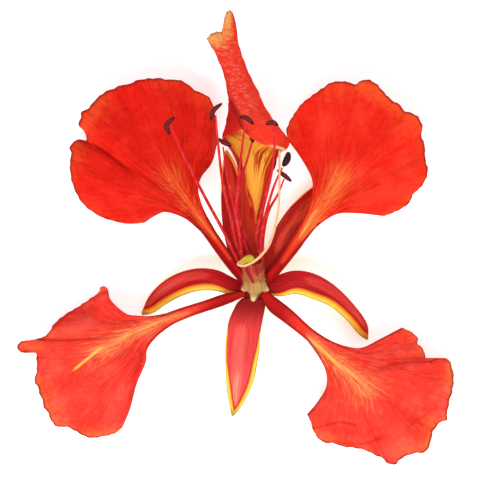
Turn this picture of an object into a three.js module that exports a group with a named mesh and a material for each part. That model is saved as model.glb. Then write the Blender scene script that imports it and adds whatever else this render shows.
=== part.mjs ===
import * as THREE from 'three';

// One cut flower of the flame tree (Delonix regia), lying face up.
// Millimetres, +Z up. The origin is the centre of the slanting cut through the short stalk, and the
// flower rests on that cut and on the tips of its five bent-back sepals. +Y is up the flower, towards
// the standard petal.

// Petals: a narrow channelled claw that opens into a broad, thin blade
const CLAW_THICKNESS = 0.9;
const BLADE_THICKNESS = 0.66;
const CLAW_SHARE = 0.42;
const CLAW_CHANNEL = 0.45;
const PETAL_ACROSS = 20;
const PETAL_ALONG = 20;

// Sepals: thick, leathery and pointed
const SEPAL_THICKNESS = 1.1;
const SEPAL_TIP_THICKNESS = 0.8;
const SEPAL_ACROSS = 5;
const SEPAL_ALONG = 12;

// Calyx cup on its stalk stub, by height: [y of centre, z, radius]
const CUP_SIDES = 20;
const CUP_STATIONS = [
  [0, 0, 1.6], [1.0, 1.8, 1.5], [2.7, 3.8, 1.75], [4.4, 5.4, 2.6], [5.8, 7.0, 3.3], [6.4, 8.6, 3.4],
];

// Pale base of the stamens: [y, z, lean in degrees, half-width, half-depth]
const COLUMN_SIDES = 20;
const COLUMN_STATIONS = [
  [6.9, 8.9, 0, 1.15, 1.1], [6.9, 10.3, 8, 1.7, 1.6], [7.1, 11.6, 22, 3.2, 3.0],
  [8.5, 13.1, 36, 3.4, 3.1], [10.4, 14.6, 45, 3.1, 2.95],
];

// Stamens stand in a ring on that base, open towards the viewer for the pistil
const STAMEN_RING_CENTRE = new THREE.Vector3(-0.3, 10.72, 14.92);
const STAMEN_RING_RADIUS = 2.55;
const STAMEN_LEAN = THREE.MathUtils.degToRad(45);
const FILAMENT_ROOT_RADIUS = 0.4;
const FILAMENT_TIP_RADIUS = 0.3;
const FILAMENT_SIDES = 7;
const FILAMENT_STEPS = 14;
const ANTHER_RADIUS = 0.62;
const ANTHER_SIDES = 7;
const ANTHER_STEPS = 8;

// Collar of crowded filament bases in front of the pistil, on the same ring: from its left end to
// its right end, and how far it dips at the left
const COLLAR_FROM = THREE.MathUtils.degToRad(134);
const COLLAR_TO = THREE.MathUtils.degToRad(52);
const COLLAR_RADIUS = 3.2;
const COLLAR_FOOT = -0.15;
const COLLAR_TOP = 5.3;
const COLLAR_DIP = 1.2;
const COLLAR_THICKNESS = 0.5;

// Pistil
const OVARY_RADIUS = 1.1;
const STYLE_RADIUS = 0.38;

const COLOURS = {
  scarlet: '#e32a1a',
  scarlet_orange: '#f4432c',
  standard: '#e8452a',
  sepal: '#c9272a',
  sepal_dull: '#b03a2c',
  calyx: '#a9993f',
  column: '#cfae66',
  filament: '#dc2440',
  anther: '#4a0c1c',
  ovary: '#c6b940',
  style: '#f0b078',
};

// Plan outlines in millimetres. A petal's two sides run from its base, and the throat is the number
// of the point where the claw ends. The margin runs from the end of the first side to that of the
// second. Heights are those of the middle line, from the base to the margin.
const PETALS = {
  petal_upper_left: {
    colour: 'scarlet',
    throat: [4, 3],
    first: [
      [-2.6, 6.9], [-7.0, 12.3], [-10.0, 16.3], [-13.8, 21.3], [-16.8, 24.1], [-19.5, 25.6],
      [-21.9, 26.0], [-24.6, 25.1], [-27.9, 23.1],
    ],
    margin: [
      [-32.0, 22.8], [-37.1, 23.9], [-40.4, 25.5], [-44.7, 30.1], [-46.4, 36.5], [-46.6, 42.0],
      [-43.9, 44.0], [-42.3, 43.9], [-43.0, 46.4], [-44.2, 48.3], [-43.2, 51.2], [-40.4, 53.6],
      [-35.2, 57.0], [-29.8, 58.8], [-24.4, 59.3], [-18.6, 58.8], [-14.9, 56.4], [-11.4, 54.3],
      [-10.0, 50.0],
    ],
    second: [
      [-1.5, 8.5], [-5.0, 13.5], [-10.0, 20.9], [-12.7, 25.5], [-14.3, 30.5], [-13.6, 34.2],
      [-10.9, 38.0], [-9.5, 43.0],
    ],
    heights: [9.5, 11.0, 13.2, 14.6, 14.8, 14.0, 12.3, 9.8],
    droop: 2.2,
    ruffle: 1.1,
    waves: 4.5,
    phase: 0.4,
    crease: { from: [-42.1, 43.6], to: [-26.5, 32.8], width: 2.4, depth: 1.3 },
  },
  petal_upper_right: {
    colour: 'scarlet',
    throat: [3, 3],
    first: [
      [1.5, 8.6], [5.4, 13.4], [8.9, 18.9], [12.6, 24.5], [14.4, 29.0], [14.6, 33.2],
      [11.9, 38.6], [8.2, 44.0],
    ],
    margin: [
      [8.0, 47.0], [10.2, 51.0], [13.7, 54.7], [19.0, 58.3], [23.4, 58.4], [25.0, 57.8], [28.2, 59.0],
      [30.2, 58.1], [33.5, 54.8], [36.3, 52.9], [41.0, 49.5], [41.8, 45.6], [42.7, 41.0],
      [43.4, 35.8], [41.8, 32.2], [39.8, 30.3], [38.6, 27.8], [36.3, 26.2],
    ],
    second: [
      [2.8, 7.0], [5.3, 9.7], [11.3, 17.0], [14.7, 21.7], [17.6, 24.1], [20.5, 25.4], [25.5, 25.5],
      [32.5, 24.8],
    ],
    heights: [9.5, 11.0, 13.2, 14.8, 15.0, 14.2, 12.6, 10.4],
    droop: 2.0,
    ruffle: 1.2,
    waves: 5,
    phase: 2.1,
    crease: { from: [10.5, 50.5], to: [16.0, 38.0], width: 2.2, depth: 0.7 },
  },
  petal_lower_left: {
    colour: 'scarlet_orange',
    throat: [4, 4],
    first: [
      [-2.5, 6.1], [-7.8, 5.0], [-12.5, 3.4], [-18.5, 1.6], [-23.8, -0.2], [-29.1, -0.5],
      [-33.0, 0.5], [-35.8, 3.0], [-37.0, 6.4],
    ],
    margin: [
      [-38.6, 7.2], [-39.6, 5.4], [-42.8, 3.2], [-47.0, 0.6], [-50.7, -2.5], [-52.6, -5.1],
      [-56.5, -6.3], [-59.6, -7.4], [-59.3, -9.2], [-55.4, -9.4], [-54.9, -13.9], [-55.4, -17.2],
      [-53.5, -22.5], [-50.4, -27.8], [-47.3, -28.4], [-41.5, -31.0], [-36.5, -30.3],
    ],
    second: [
      [-2.4, 4.6], [-9.4, 2.0], [-15.7, -0.1], [-21.2, -2.6], [-24.6, -5.1], [-27.0, -8.3],
      [-27.3, -11.5], [-29.6, -17.0], [-31.4, -23.6], [-33.4, -28.4],
    ],
    heights: [9.5, 10.8, 12.0, 12.8, 12.6, 11.4, 9.2, 6.4],
    droop: 1.0,
    ruffle: 1.2,
    waves: 4.5,
    phase: 1.2,
    crease: { from: [-52.0, -9.5], to: [-30.0, -4.2], width: 2.6, depth: -0.9 },
  },
  petal_lower_right: {
    colour: 'scarlet_orange',
    throat: [4, 4],
    first: [
      [2.5, 6.3], [5.2, 4.2], [8.8, 1.4], [13.8, -3.2], [18.0, -6.2], [22.7, -7.9], [26.5, -8.2],
      [31.6, -5.9], [37.0, -3.2],
    ],
    margin: [
      [39.4, -4.2], [40.8, -7.2], [42.7, -10.2], [44.0, -11.6], [48.5, -11.0], [49.9, -15.3],
      [48.7, -21.9], [48.4, -26.2], [45.6, -28.6], [43.8, -33.0], [42.4, -34.6], [38.3, -35.4],
      [35.6, -37.6], [32.4, -36.3], [26.5, -33.8], [18.5, -32.3], [14.8, -29.4], [13.4, -26.6],
    ],
    second: [
      [1.3, 4.7], [3.6, 1.2], [7.6, -1.9], [12.8, -6.1], [15.9, -9.9], [17.8, -14.0],
      [17.9, -17.9], [15.8, -21.7], [13.0, -25.2],
    ],
    heights: [9.5, 10.8, 12.0, 12.8, 12.6, 11.6, 9.8, 7.2],
    droop: 1.0,
    ruffle: 1.3,
    waves: 5,
    phase: 3.4,
    crease: { from: [43.0, -11.6], to: [29.0, -13.0], width: 2.4, depth: 1.2 },
  },
};

// Sepals: two edges from base to tip, heights of the middle line, and the rise of the first edge
// over the second
const SEPALS = {
  sepal_bottom: {
    colour: 'sepal',
    first: [[-2.7, 2.4], [-4.6, 1.6], [-6.3, -1.4], [-7.3, -6.5], [-7.4, -13.0], [-6.9, -20.0],
      [-5.9, -25.6]],
    second: [[2.3, 2.3], [2.2, 0.6], [1.6, -3.6], [0.9, -10.0], [-0.6, -17.4], [-3.4, -23.2],
      [-5.2, -25.4]],
    heights: [8.0, 8.3, 7.9, 6.9, 5.2, 2.9, 0.5],
    tilt: 0.3,
    channel: 0.5,
  },
  sepal_lower_left: {
    colour: 'sepal',
    first: [[-3.7, 8.2], [-5.6, 9.3], [-9.4, 11.1], [-13.8, 11.6], [-18.4, 10.7], [-22.8, 8.5],
      [-26.5, 4.8], [-28.6, 0.4]],
    second: [[-4.0, 5.4], [-6.5, 5.2], [-10.6, 6.1], [-14.6, 5.9], [-18.8, 4.5], [-22.6, 2.4],
      [-25.6, 0.4], [-28.2, -0.2]],
    heights: [7.9, 8.1, 7.9, 7.3, 6.2, 4.7, 2.7, 0.5],
    tilt: -1.8,
    channel: -0.5,
  },
  sepal_lower_right: {
    colour: 'sepal',
    first: [[3.6, 8.4], [5.6, 9.8], [9.8, 11.0], [14.4, 10.4], [19.0, 8.0], [24.0, 3.4],
      [28.3, -2.6], [28.6, -6.2]],
    second: [[4.0, 5.2], [6.2, 4.6], [10.2, 5.2], [14.6, 3.9], [19.0, 2.0], [23.2, -1.6],
      [26.4, -5.2], [28.1, -6.3]],
    heights: [7.9, 8.1, 7.9, 7.2, 6.0, 4.4, 2.3, 0.5],
    tilt: -1.8,
    channel: -0.5,
  },
  sepal_upper_left: {
    colour: 'sepal_dull',
    first: [[-3.1, 9.0], [-5.2, 12.4], [-7.0, 17.0], [-8.2, 23.5], [-8.5, 31.0], [-8.3, 36.5],
      [-7.5, 41.2]],
    second: [[-0.4, 10.1], [-0.9, 13.6], [-1.5, 18.6], [-2.3, 25.0], [-3.3, 32.0], [-4.9, 38.0],
      [-6.9, 41.3]],
    heights: [7.7, 7.8, 7.3, 6.2, 4.6, 2.7, 0.5],
    tilt: 0,
    channel: 0.5,
  },
  sepal_upper_right: {
    colour: 'sepal_dull',
    first: [[0.4, 10.4], [2.0, 14.4], [4.6, 20.6], [8.2, 26.2], [12.4, 30.6], [16.2, 33.2],
      [18.8, 34.4]],
    second: [[3.3, 9.0], [6.0, 12.4], [9.4, 17.2], [12.8, 22.0], [15.9, 26.8], [18.2, 31.0],
      [19.3, 33.9]],
    heights: [7.7, 7.8, 7.3, 6.2, 4.6, 2.7, 0.5],
    tilt: 0,
    channel: 0.5,
  },
};

// Standard petal: a trough up to the mouth, then a cone rolled right side over left. Each station:
// [y, left edge, right edge, height of the trough's floor, rise of the section, degrees that the left
// and the right side turn round it, and how far y of the left and the right margin differs]
const STANDARD_STATIONS = [
  [9.3, -0.9, 1.2, 9.3, 0.6, 55, 55, 0, 0], [14.5, -2.3, 1.1, 9.8, 1.0, 65, 65, 0, 0],
  [22.0, -3.2, 1.2, 10.6, 1.4, 70, 70, 0, 0], [31.0, -3.5, 2.7, 11.5, 1.9, 75, 75, 0, 0],
  [36.3, -4.0, 4.2, 11.7, 2.6, 80, 80, 0, 0], [40.5, -5.6, 6.2, 11.3, 4.2, 86, 92, 0, 0],
  [43.2, -7.8, 8.1, 10.9, 5.4, 96, 130, 0.6, -2.6], [45.4, -7.8, 7.2, 10.8, 6.2, 145, 165, 0.3, -2.6],
  [48.2, -6.9, 4.8, 11.0, 6.0, 178, 195, 0, -1.6], [52.2, -6.4, 2.2, 11.6, 5.0, 158, 215, 0, -0.4],
  [56.0, -6.9, 0.4, 12.2, 4.2, 122, 248, 0, 0], [60.0, -7.7, -1.6, 12.7, 3.7, 100, 260, 0, 0],
  [64.0, -9.3, -3.2, 13.1, 3.4, 95, 260, 0, 0], [67.2, -10.9, -4.3, 13.4, 3.0, 95, 255, 0, 0],
  [69.4, -11.9, -4.8, 13.6, 2.6, 95, 250, 0, 0],
];
const STANDARD_THICKNESS = 0.66;
const STANDARD_SPIRAL = 0.36;
const STANDARD_ACROSS = 30;
const STANDARD_ALONG = 34;

// Its ragged tip: [share of the width, rise past the last station]
const STANDARD_TIP_FROM = 0.84;
const STANDARD_TIP = [
  [0, -0.4], [0.09, 0.4], [0.32, 1.2], [0.5, 1.0], [0.56, 3.1], [0.62, 5.2], [0.71, 6.2], [0.82, 6.6],
  [0.94, 4.8], [1, 0.2],
];

// Stamens: place on the ring in degrees, then the filament's course, then the anther's three points
const STAMENS = [
  { ring: 150, course: [[-4.5, 14.1, 18.6], [-7.4, 20.1, 20.2], [-12.2, 28.9, 21.8], [-18.0, 40.3, 22.4],
    [-20.95, 46.95, 22.3]], anther: [[-20.0, 49.3, 22.4], [-22.0, 47.2, 22.6], [-21.2, 44.9, 22.3]] },
  { ring: 202, course: [[-4.5, 17.5, 17.9], [-6.0, 24.5, 20.4], [-8.0, 32.8, 22.5], [-9.2, 42.9, 24.0],
    [-9.8, 49.7, 24.2]], anther: [[-8.2, 52.6, 24.2], [-10.2, 50.9, 24.9], [-11.0, 48.4, 24.5]] },
  { ring: 227, course: [[-3.9, 20.0, 17.2], [-5.4, 28.0, 19.6], [-7.0, 35.0, 20.6], [-7.95, 41.9, 20.9]],
    anther: [[-9.2, 43.9, 20.7], [-7.7, 42.9, 21.2], [-5.9, 42.1, 20.8]] },
  { ring: 178, course: [[-3.7, 18.5, 19.9], [-4.6, 25.0, 22.4], [-4.2, 33.0, 24.6], [-3.4, 40.5, 26.0],
    [-2.4, 47.85, 26.7]], anther: [[-3.9, 49.2, 26.6], [-2.2, 48.9, 27.1], [-0.3, 47.4, 26.7]] },
  { ring: 251, course: [[-3.0, 18.8, 16.0], [-4.2, 27.5, 18.7], [-3.7, 33.0, 19.3], [-2.0, 38.6, 18.2],
    [-0.8, 42.4, 16.2]], anther: [[-1.4, 44.5, 15.4], [-0.5, 43.2, 15.5], [0.9, 42.2, 15.4]] },
  { ring: 346, course: [[0.4, 19.5, 17.5], [2.0, 27.0, 20.4], [4.0, 35.2, 23.0], [4.8, 41.5, 24.4],
    [4.3, 46.85, 25.1]], anther: [[2.7, 47.4, 25.0], [4.3, 47.9, 25.4], [5.7, 47.1, 25.0]] },
  { ring: 36, course: [[1.5, 19.5, 20.6], [2.9, 26.2, 23.0], [5.0, 32.9, 24.6], [6.75, 36.65, 25.35]],
    anther: [[6.9, 37.0, 25.8], [7.9, 38.7, 26.2], [8.3, 40.5, 25.8]], thick: 1.5 },
  { ring: 11, course: [[2.0, 19.5, 18.6], [3.4, 26.0, 20.3], [5.6, 30.0, 21.2], [7.2, 33.85, 21.95]],
    anther: [[5.5, 36.1, 22.2], [7.1, 34.9, 22.6], [9.0, 33.3, 22.2]] },
  { ring: 275, course: [[-2.1, 18.6, 14.1], [-4.3, 25.5, 15.9], [-4.1, 31.5, 16.7], [-3.9, 35.0, 16.6]],
    anther: [[-3.9, 35.5, 16.6], [-3.8, 37.5, 16.6], [-3.6, 39.5, 16.9]] },
  { ring: 319, course: [[1.1, 19.0, 14.6], [1.9, 26.0, 18.2], [3.3, 31.6, 19.6], [4.1, 35.4, 20.0]],
    anther: [[4.2, 35.85, 20.1], [4.7, 38.0, 20.4], [4.9, 40.0, 20.3]] },
];

const OVARY_COURSE = [[-0.4, 10.9, 15.1], [-0.9, 12.5, 17.3], [-2.4, 13.9, 19.8]];
const STYLE_COURSE = [
  [-2.7, 13.9, 20.5], [-3.9, 13.0, 21.6], [-3.2, 12.3, 22.3], [-1.0, 12.9, 23.0], [2.2, 15.7, 24.4],
  [4.6, 19.8, 25.8], [5.7, 26.0, 27.0], [6.0, 33.5, 27.4], [6.0, 40.9, 26.8],
];

/** Smooth value at t in 0..1 through evenly spaced numbers. */
function along(values, t) {
  const place = THREE.MathUtils.clamp(t, 0, 1) * (values.length - 1);
  const index = Math.min(Math.floor(place), values.length - 2);
  const f = place - index;
  const before = values[Math.max(index - 1, 0)];
  const after = values[Math.min(index + 2, values.length - 1)];
  const [a, b] = [values[index], values[index + 1]];
  const square = 2 * before - 5 * a + 4 * b - after;
  const cube = 3 * (a - b) + after - before;
  return a + 0.5 * f * (b - before + f * (square + f * cube));
}

/** Curve in the plan through [x, y] points. */
function planCurve(points) {
  const places = points.map(([x, y]) => new THREE.Vector3(x, y, 0));
  const curve = new THREE.CatmullRomCurve3(places, false, 'centripetal');
  curve.arcLengthDivisions = 60 * points.length;
  return curve;
}

/** Point at v on a petal's side: the claw takes the share CLAW_SHARE of v, the flare the rest. */
function sidePoint(curve, throatIndex, v) {
  const lengths = curve.getLengths();
  const last = curve.points.length - 1;
  const throatStep = Math.round((throatIndex / last) * (lengths.length - 1));
  const throat = lengths[throatStep] / lengths.at(-1);
  const share = v < CLAW_SHARE
    ? (v / CLAW_SHARE) * throat
    : throat + ((v - CLAW_SHARE) / (1 - CLAW_SHARE)) * (1 - throat);
  return curve.getPointAt(THREE.MathUtils.clamp(share, 0, 1));
}

/** Distance of a point from the line that a crease runs on, fading towards its inner end. */
function creaseShape(point, crease) {
  const [x0, y0] = crease.from;
  const [x1, y1] = crease.to;
  const [dx, dy] = [x1 - x0, y1 - y0];
  const length = Math.hypot(dx, dy);
  const s = ((point.x - x0) * dx + (point.y - y0) * dy) / (length * length);
  const off = ((point.x - x0) * -dy + (point.y - y0) * dx) / length;
  const fade = THREE.MathUtils.smoothstep(1.2 - s, 0, 0.6) * THREE.MathUtils.smoothstep(s + 0.4, 0, 0.4);
  return fade * Math.exp(-((off / crease.width) ** 2));
}

/** Middle surface of a clawed petal at u across and v along. */
function petalSurface(petal) {
  const first = planCurve(petal.first);
  const second = planCurve(petal.second);
  const end = [petal.first.at(-1), ...petal.margin, petal.second.at(-1)];
  const margin = planCurve(end);
  const [endFirst, endSecond] = [margin.getPointAt(0), margin.getPointAt(1)];
  return (u, v) => {
    const point = sidePoint(first, petal.throat[0], v).lerp(sidePoint(second, petal.throat[1], v), u);
    const open = Math.max(0, (v - 0.75 * CLAW_SHARE) / (1 - 0.75 * CLAW_SHARE)) ** 1.6;
    const bulge = margin.getPointAt(u).sub(endFirst.clone().lerp(endSecond, u));
    point.addScaledVector(bulge, open);
    const side = 2 * u - 1;
    const blade = THREE.MathUtils.smoothstep(v, 0.8 * CLAW_SHARE, 1);
    const deep = THREE.MathUtils.smoothstep(v, 0, 0.1);
    const claw = deep - THREE.MathUtils.smoothstep(v, 0.5 * CLAW_SHARE, 0.75);
    point.z = along(petal.heights, v) + (CLAW_CHANNEL * claw - petal.droop * blade) * side * side;
    point.z += petal.ruffle * blade ** 3 * Math.sin(petal.waves * Math.PI * 2 * u + petal.phase);
    point.z -= petal.crease.depth * creaseShape(point, petal.crease);
    return point;
  };
}

/** Middle surface of a sepal, spanned between its two edges. */
function sepalSurface(sepal) {
  const first = planCurve(sepal.first);
  const second = planCurve(sepal.second);
  return (u, v) => {
    const point = first.getPointAt(v).lerp(second.getPointAt(v), u);
    const side = 2 * u - 1;
    const belly = Math.sin(Math.PI * Math.min(1, 0.12 + 0.88 * v));
    point.z = along(sepal.heights, v) - 0.5 * sepal.tilt * belly * side;
    point.z += sepal.channel * belly * side * side;
    return point;
  };
}

/** Rise of the standard's tip at a share of its width. */
function tipRise(share) {
  const next = Math.max(1, STANDARD_TIP.findIndex(([place]) => place >= share));
  const [[x0, y0], [x1, y1]] = [STANDARD_TIP[next - 1], STANDARD_TIP[next]];
  return THREE.MathUtils.lerp(y0, y1, (share - x0) / (x1 - x0));
}

/** Middle surface of the rolled standard petal. */
function standardSurface() {
  const columns = STANDARD_STATIONS[0].map((_, index) => STANDARD_STATIONS.map((station) => station[index]));
  return (u, v) => {
    const [y, left, right, floor, rise, ...rest] = columns.map((values) => along(values, v));
    const [turnLeft, turnRight] = [THREE.MathUtils.degToRad(rest[0]), THREE.MathUtils.degToRad(rest[1])];
    const [aheadLeft, aheadRight] = rest.slice(2);
    const closed = THREE.MathUtils.smoothstep(turnLeft + turnRight, Math.PI, 2 * Math.PI);
    const section = (place) => {
      const angle = place * (turnLeft + turnRight) - turnLeft;
      const grow = 1 + STANDARD_SPIRAL * closed * (angle / (2 * Math.PI));
      return { angle, sideways: grow * Math.sin(angle), upwards: 1 - grow * Math.cos(angle) };
    };
    const around = Array.from({ length: 61 }, (_, i) => section(i / 60));
    const low = Math.min(...around.map((place) => place.sideways));
    const high = Math.max(...around.map((place) => place.sideways));
    const top = Math.max(...around.map((place) => place.upwards));
    const { angle, sideways, upwards } = section(u);
    const share = THREE.MathUtils.clamp((sideways - low) / (high - low), 0, 1);
    const margin = angle < 0 ? aheadLeft * (-angle / turnLeft) ** 3 : aheadRight * (angle / turnRight) ** 3;
    const tip = THREE.MathUtils.smoothstep(v, STANDARD_TIP_FROM, 1) * tipRise(share);
    return new THREE.Vector3(
      left + (right - left) * share,
      y + margin + tip,
      floor + rise * (upwards / top),
    );
  };
}

/** Closed geometry from rings of equal length: loft with flat caps. */
function loft(rings) {
  const sides = rings[0].length;
  const vertices = rings.flat();
  const faces = [];
  for (let i = 0; i < rings.length - 1; i += 1) {
    for (let j = 0; j < sides; j += 1) {
      const k = (j + 1) % sides;
      faces.push([i * sides + j, i * sides + k, (i + 1) * sides + k]);
      faces.push([i * sides + j, (i + 1) * sides + k, (i + 1) * sides + j]);
    }
  }
  const lastRing = (rings.length - 1) * sides;
  for (let j = 1; j < sides - 1; j += 1) {
    faces.push([0, j + 1, j]);
    faces.push([lastRing, lastRing + j, lastRing + j + 1]);
  }
  return closedGeometry(vertices, faces);
}

/** Buffer geometry of a closed body, turned outside out if its volume comes out negative. */
function closedGeometry(vertices, faces) {
  let volume = 0;
  for (const [a, b, c] of faces) {
    volume += vertices[a].dot(vertices[b].clone().cross(vertices[c]));
  }
  const ordered = volume < 0 ? faces.map(([a, b, c]) => [a, c, b]) : faces;
  const positions = vertices.flatMap((point) => point.toArray());
  const geometry = new THREE.BufferGeometry();
  geometry.setAttribute('position', new THREE.Float32BufferAttribute(positions, 3));
  geometry.setIndex(ordered.flat());
  geometry.computeVertexNormals();
  return geometry;
}

/** Closed sheet of the given thickness round a middle surface, kept above the ground. */
function sheet(surface, thickness, across, lengthwise) {
  const step = 1e-3;
  const [top, bottom] = [[], []];
  for (let j = 0; j <= lengthwise; j += 1) {
    for (let i = 0; i <= across; i += 1) {
      const [u, v] = [i / across, j / lengthwise];
      const [ua, ub] = [Math.max(u - step, 0), Math.min(u + step, 1)];
      const [va, vb] = [Math.max(v - step, 0), Math.min(v + step, 1)];
      const du = surface(ub, v).sub(surface(ua, v));
      const dv = surface(u, vb).sub(surface(u, va));
      const normal = du.cross(dv).normalize();
      const half = thickness(u, v) / 2;
      const middle = surface(u, v);
      for (const [list, way] of [[top, half], [bottom, -half]]) {
        const point = middle.clone().addScaledVector(normal, way);
        point.z = Math.max(point.z, 0);
        list.push(point);
      }
    }
  }
  const row = across + 1;
  const count = top.length;
  const faces = [];
  for (let j = 0; j < lengthwise; j += 1) {
    for (let i = 0; i < across; i += 1) {
      const [a, b, c, d] = [j * row + i, j * row + i + 1, (j + 1) * row + i + 1, (j + 1) * row + i];
      faces.push([a, b, c], [a, c, d], [count + a, count + c, count + b], [count + a, count + d, count + c]);
    }
  }
  const rim = [];
  for (let i = 0; i < across; i += 1) rim.push(i);
  for (let j = 0; j < lengthwise; j += 1) rim.push(j * row + across);
  for (let i = across; i > 0; i -= 1) rim.push(lengthwise * row + i);
  for (let j = lengthwise; j > 0; j -= 1) rim.push(j * row);
  rim.forEach((a, index) => {
    const b = rim[(index + 1) % rim.length];
    faces.push([a, count + a, count + b], [a, count + b, b]);
  });
  return closedGeometry([...top, ...bottom], faces);
}

/** Solid swept round a space curve, with its radius given along it. */
function swept(points, radius, sides, steps) {
  const curve = new THREE.CatmullRomCurve3(points, false, 'centripetal');
  const frames = curve.computeFrenetFrames(steps, false);
  const rings = [];
  for (let i = 0; i <= steps; i += 1) {
    const centre = curve.getPointAt(i / steps);
    const r = radius(i / steps);
    rings.push(Array.from({ length: sides }, (_, j) => {
      const angle = (2 * Math.PI * j) / sides;
      return centre.clone()
        .addScaledVector(frames.normals[i], r * Math.cos(angle))
        .addScaledVector(frames.binormals[i], r * Math.sin(angle));
    }));
  }
  return loft(rings);
}

/** Radius of a spindle that is blunt at both ends. */
function spindle(radius, bluntness) {
  return (t) => radius * (bluntness + (1 - bluntness) * Math.sin(Math.PI * t) ** 0.6);
}

function petalThickness(u, v) {
  const edge = 1 - 0.1 * Math.abs(2 * u - 1) ** 4;
  const opening = THREE.MathUtils.smoothstep(v, 0.2, 0.7);
  return edge * THREE.MathUtils.lerp(CLAW_THICKNESS, BLADE_THICKNESS, opening);
}

function sepalThickness(u, v) {
  return THREE.MathUtils.lerp(SEPAL_THICKNESS, SEPAL_TIP_THICKNESS, v ** 3);
}

/** Horizontal rings of the calyx cup and its stalk stub. */
function cupRings() {
  return CUP_STATIONS.map(([y, z, radius]) => Array.from({ length: CUP_SIDES }, (_, j) => {
    const angle = (2 * Math.PI * j) / CUP_SIDES;
    return new THREE.Vector3(radius * Math.cos(angle), y + radius * Math.sin(angle), z);
  }));
}

/** Leaning rings of the pale stamen base. */
function columnRings() {
  return COLUMN_STATIONS.map(([y, z, lean, halfWidth, halfDepth]) => {
    const tilt = THREE.MathUtils.degToRad(lean);
    return Array.from({ length: COLUMN_SIDES }, (_, j) => {
      const angle = (2 * Math.PI * j) / COLUMN_SIDES;
      const depth = halfDepth * Math.sin(angle);
      return new THREE.Vector3(
        halfWidth * Math.cos(angle),
        y + depth * Math.cos(tilt),
        z - depth * Math.sin(tilt),
      );
    });
  });
}

/** Point by its angle on the stamens' ring, 0 right, 90 degrees towards the viewer, 180 left. */
function ringPoint(angle, radius, height) {
  const near = new THREE.Vector3(0, -Math.cos(STAMEN_LEAN), Math.sin(STAMEN_LEAN));
  const up = new THREE.Vector3(0, Math.sin(STAMEN_LEAN), Math.cos(STAMEN_LEAN));
  return STAMEN_RING_CENTRE.clone()
    .add(new THREE.Vector3(radius * Math.cos(angle), 0, 0))
    .addScaledVector(near, radius * Math.sin(angle))
    .addScaledVector(up, height);
}

/** Middle surface of the collar, which is lower on the left, where the pistil bends over it. */
function collarSurface(u, v) {
  const angle = THREE.MathUtils.lerp(COLLAR_FROM, COLLAR_TO, u);
  const top = COLLAR_TOP - COLLAR_DIP * (1 - THREE.MathUtils.smoothstep(u, 0, 0.5));
  return ringPoint(angle, COLLAR_RADIUS, THREE.MathUtils.lerp(COLLAR_FOOT, top, v));
}

const group = new THREE.Group();

function addPart(name, geometry, colour, roughness) {
  const material = new THREE.MeshStandardMaterial({ color: COLOURS[colour], roughness, metalness: 0 });
  const mesh = new THREE.Mesh(geometry, material);
  mesh.name = name;
  group.add(mesh);
}

const toVectors = (points) => points.map((p) => new THREE.Vector3(...p));

addPart('calyx_cup', loft(cupRings()), 'calyx', 0.6);
addPart('stamen_base', loft(columnRings()), 'column', 0.7);

for (const [name, sepal] of Object.entries(SEPALS)) {
  addPart(name, sheet(sepalSurface(sepal), sepalThickness, SEPAL_ACROSS, SEPAL_ALONG), sepal.colour, 0.5);
}

for (const [name, petal] of Object.entries(PETALS)) {
  addPart(name, sheet(petalSurface(petal), petalThickness, PETAL_ACROSS, PETAL_ALONG), petal.colour, 0.55);
}

addPart(
  'petal_standard',
  sheet(standardSurface(), () => STANDARD_THICKNESS, STANDARD_ACROSS, STANDARD_ALONG),
  'standard',
  0.55,
);

STAMENS.forEach(({ ring, course, anther, thick = 1 }, index) => {
  const number = String(index + 1).padStart(2, '0');
  const place = THREE.MathUtils.degToRad(ring);
  const foot = [0, 1.5].map((height) => ringPoint(place, STAMEN_RING_RADIUS, height));
  const path = [...foot, ...toVectors(course)];
  const taper = (t) => THREE.MathUtils.lerp(FILAMENT_ROOT_RADIUS, FILAMENT_TIP_RADIUS, t);
  addPart(`filament_${number}`, swept(path, taper, FILAMENT_SIDES, FILAMENT_STEPS), 'filament', 0.45);
  const lobe = swept(toVectors(anther), spindle(ANTHER_RADIUS * thick, 0.3), ANTHER_SIDES, ANTHER_STEPS);
  addPart(`anther_${number}`, lobe, 'anther', 0.7);
});

addPart('stamen_collar', sheet(collarSurface, () => COLLAR_THICKNESS, 8, 6), 'filament', 0.5);
addPart('ovary', swept(toVectors(OVARY_COURSE), spindle(OVARY_RADIUS, 0.55), 12, 8), 'ovary', 0.6);
addPart('style', swept(toVectors(STYLE_COURSE), () => STYLE_RADIUS, 7, 30), 'style', 0.5);

export default group;
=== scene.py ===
"""One cut flower of the flame tree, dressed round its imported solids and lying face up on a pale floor."""
import logging
import math
from dataclasses import dataclass, field
from enum import Enum
from typing import Any, Sequence

import bpy
import numpy as np
from bpy.types import GeometryNodeTree, Material, Modifier, Node, NodeSocket, NodeTree, Object
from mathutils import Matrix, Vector


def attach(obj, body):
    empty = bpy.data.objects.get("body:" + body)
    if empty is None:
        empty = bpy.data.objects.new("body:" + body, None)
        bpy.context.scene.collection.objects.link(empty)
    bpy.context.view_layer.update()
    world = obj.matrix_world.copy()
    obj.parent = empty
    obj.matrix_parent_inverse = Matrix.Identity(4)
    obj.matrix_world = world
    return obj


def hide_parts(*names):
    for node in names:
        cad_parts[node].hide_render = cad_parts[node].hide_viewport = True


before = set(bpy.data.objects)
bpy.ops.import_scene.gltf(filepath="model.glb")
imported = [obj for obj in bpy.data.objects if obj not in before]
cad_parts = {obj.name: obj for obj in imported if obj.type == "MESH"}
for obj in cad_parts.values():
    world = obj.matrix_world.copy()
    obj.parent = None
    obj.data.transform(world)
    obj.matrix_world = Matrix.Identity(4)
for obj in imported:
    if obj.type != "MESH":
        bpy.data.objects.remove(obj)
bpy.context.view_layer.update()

LOG = logging.getLogger("flame_flower")
MM = 0.001
ROOT = "root"

Array = np.ndarray
Point2 = tuple[float, float]
Point3 = tuple[float, float, float]


# Colours, nodes and finishes

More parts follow.
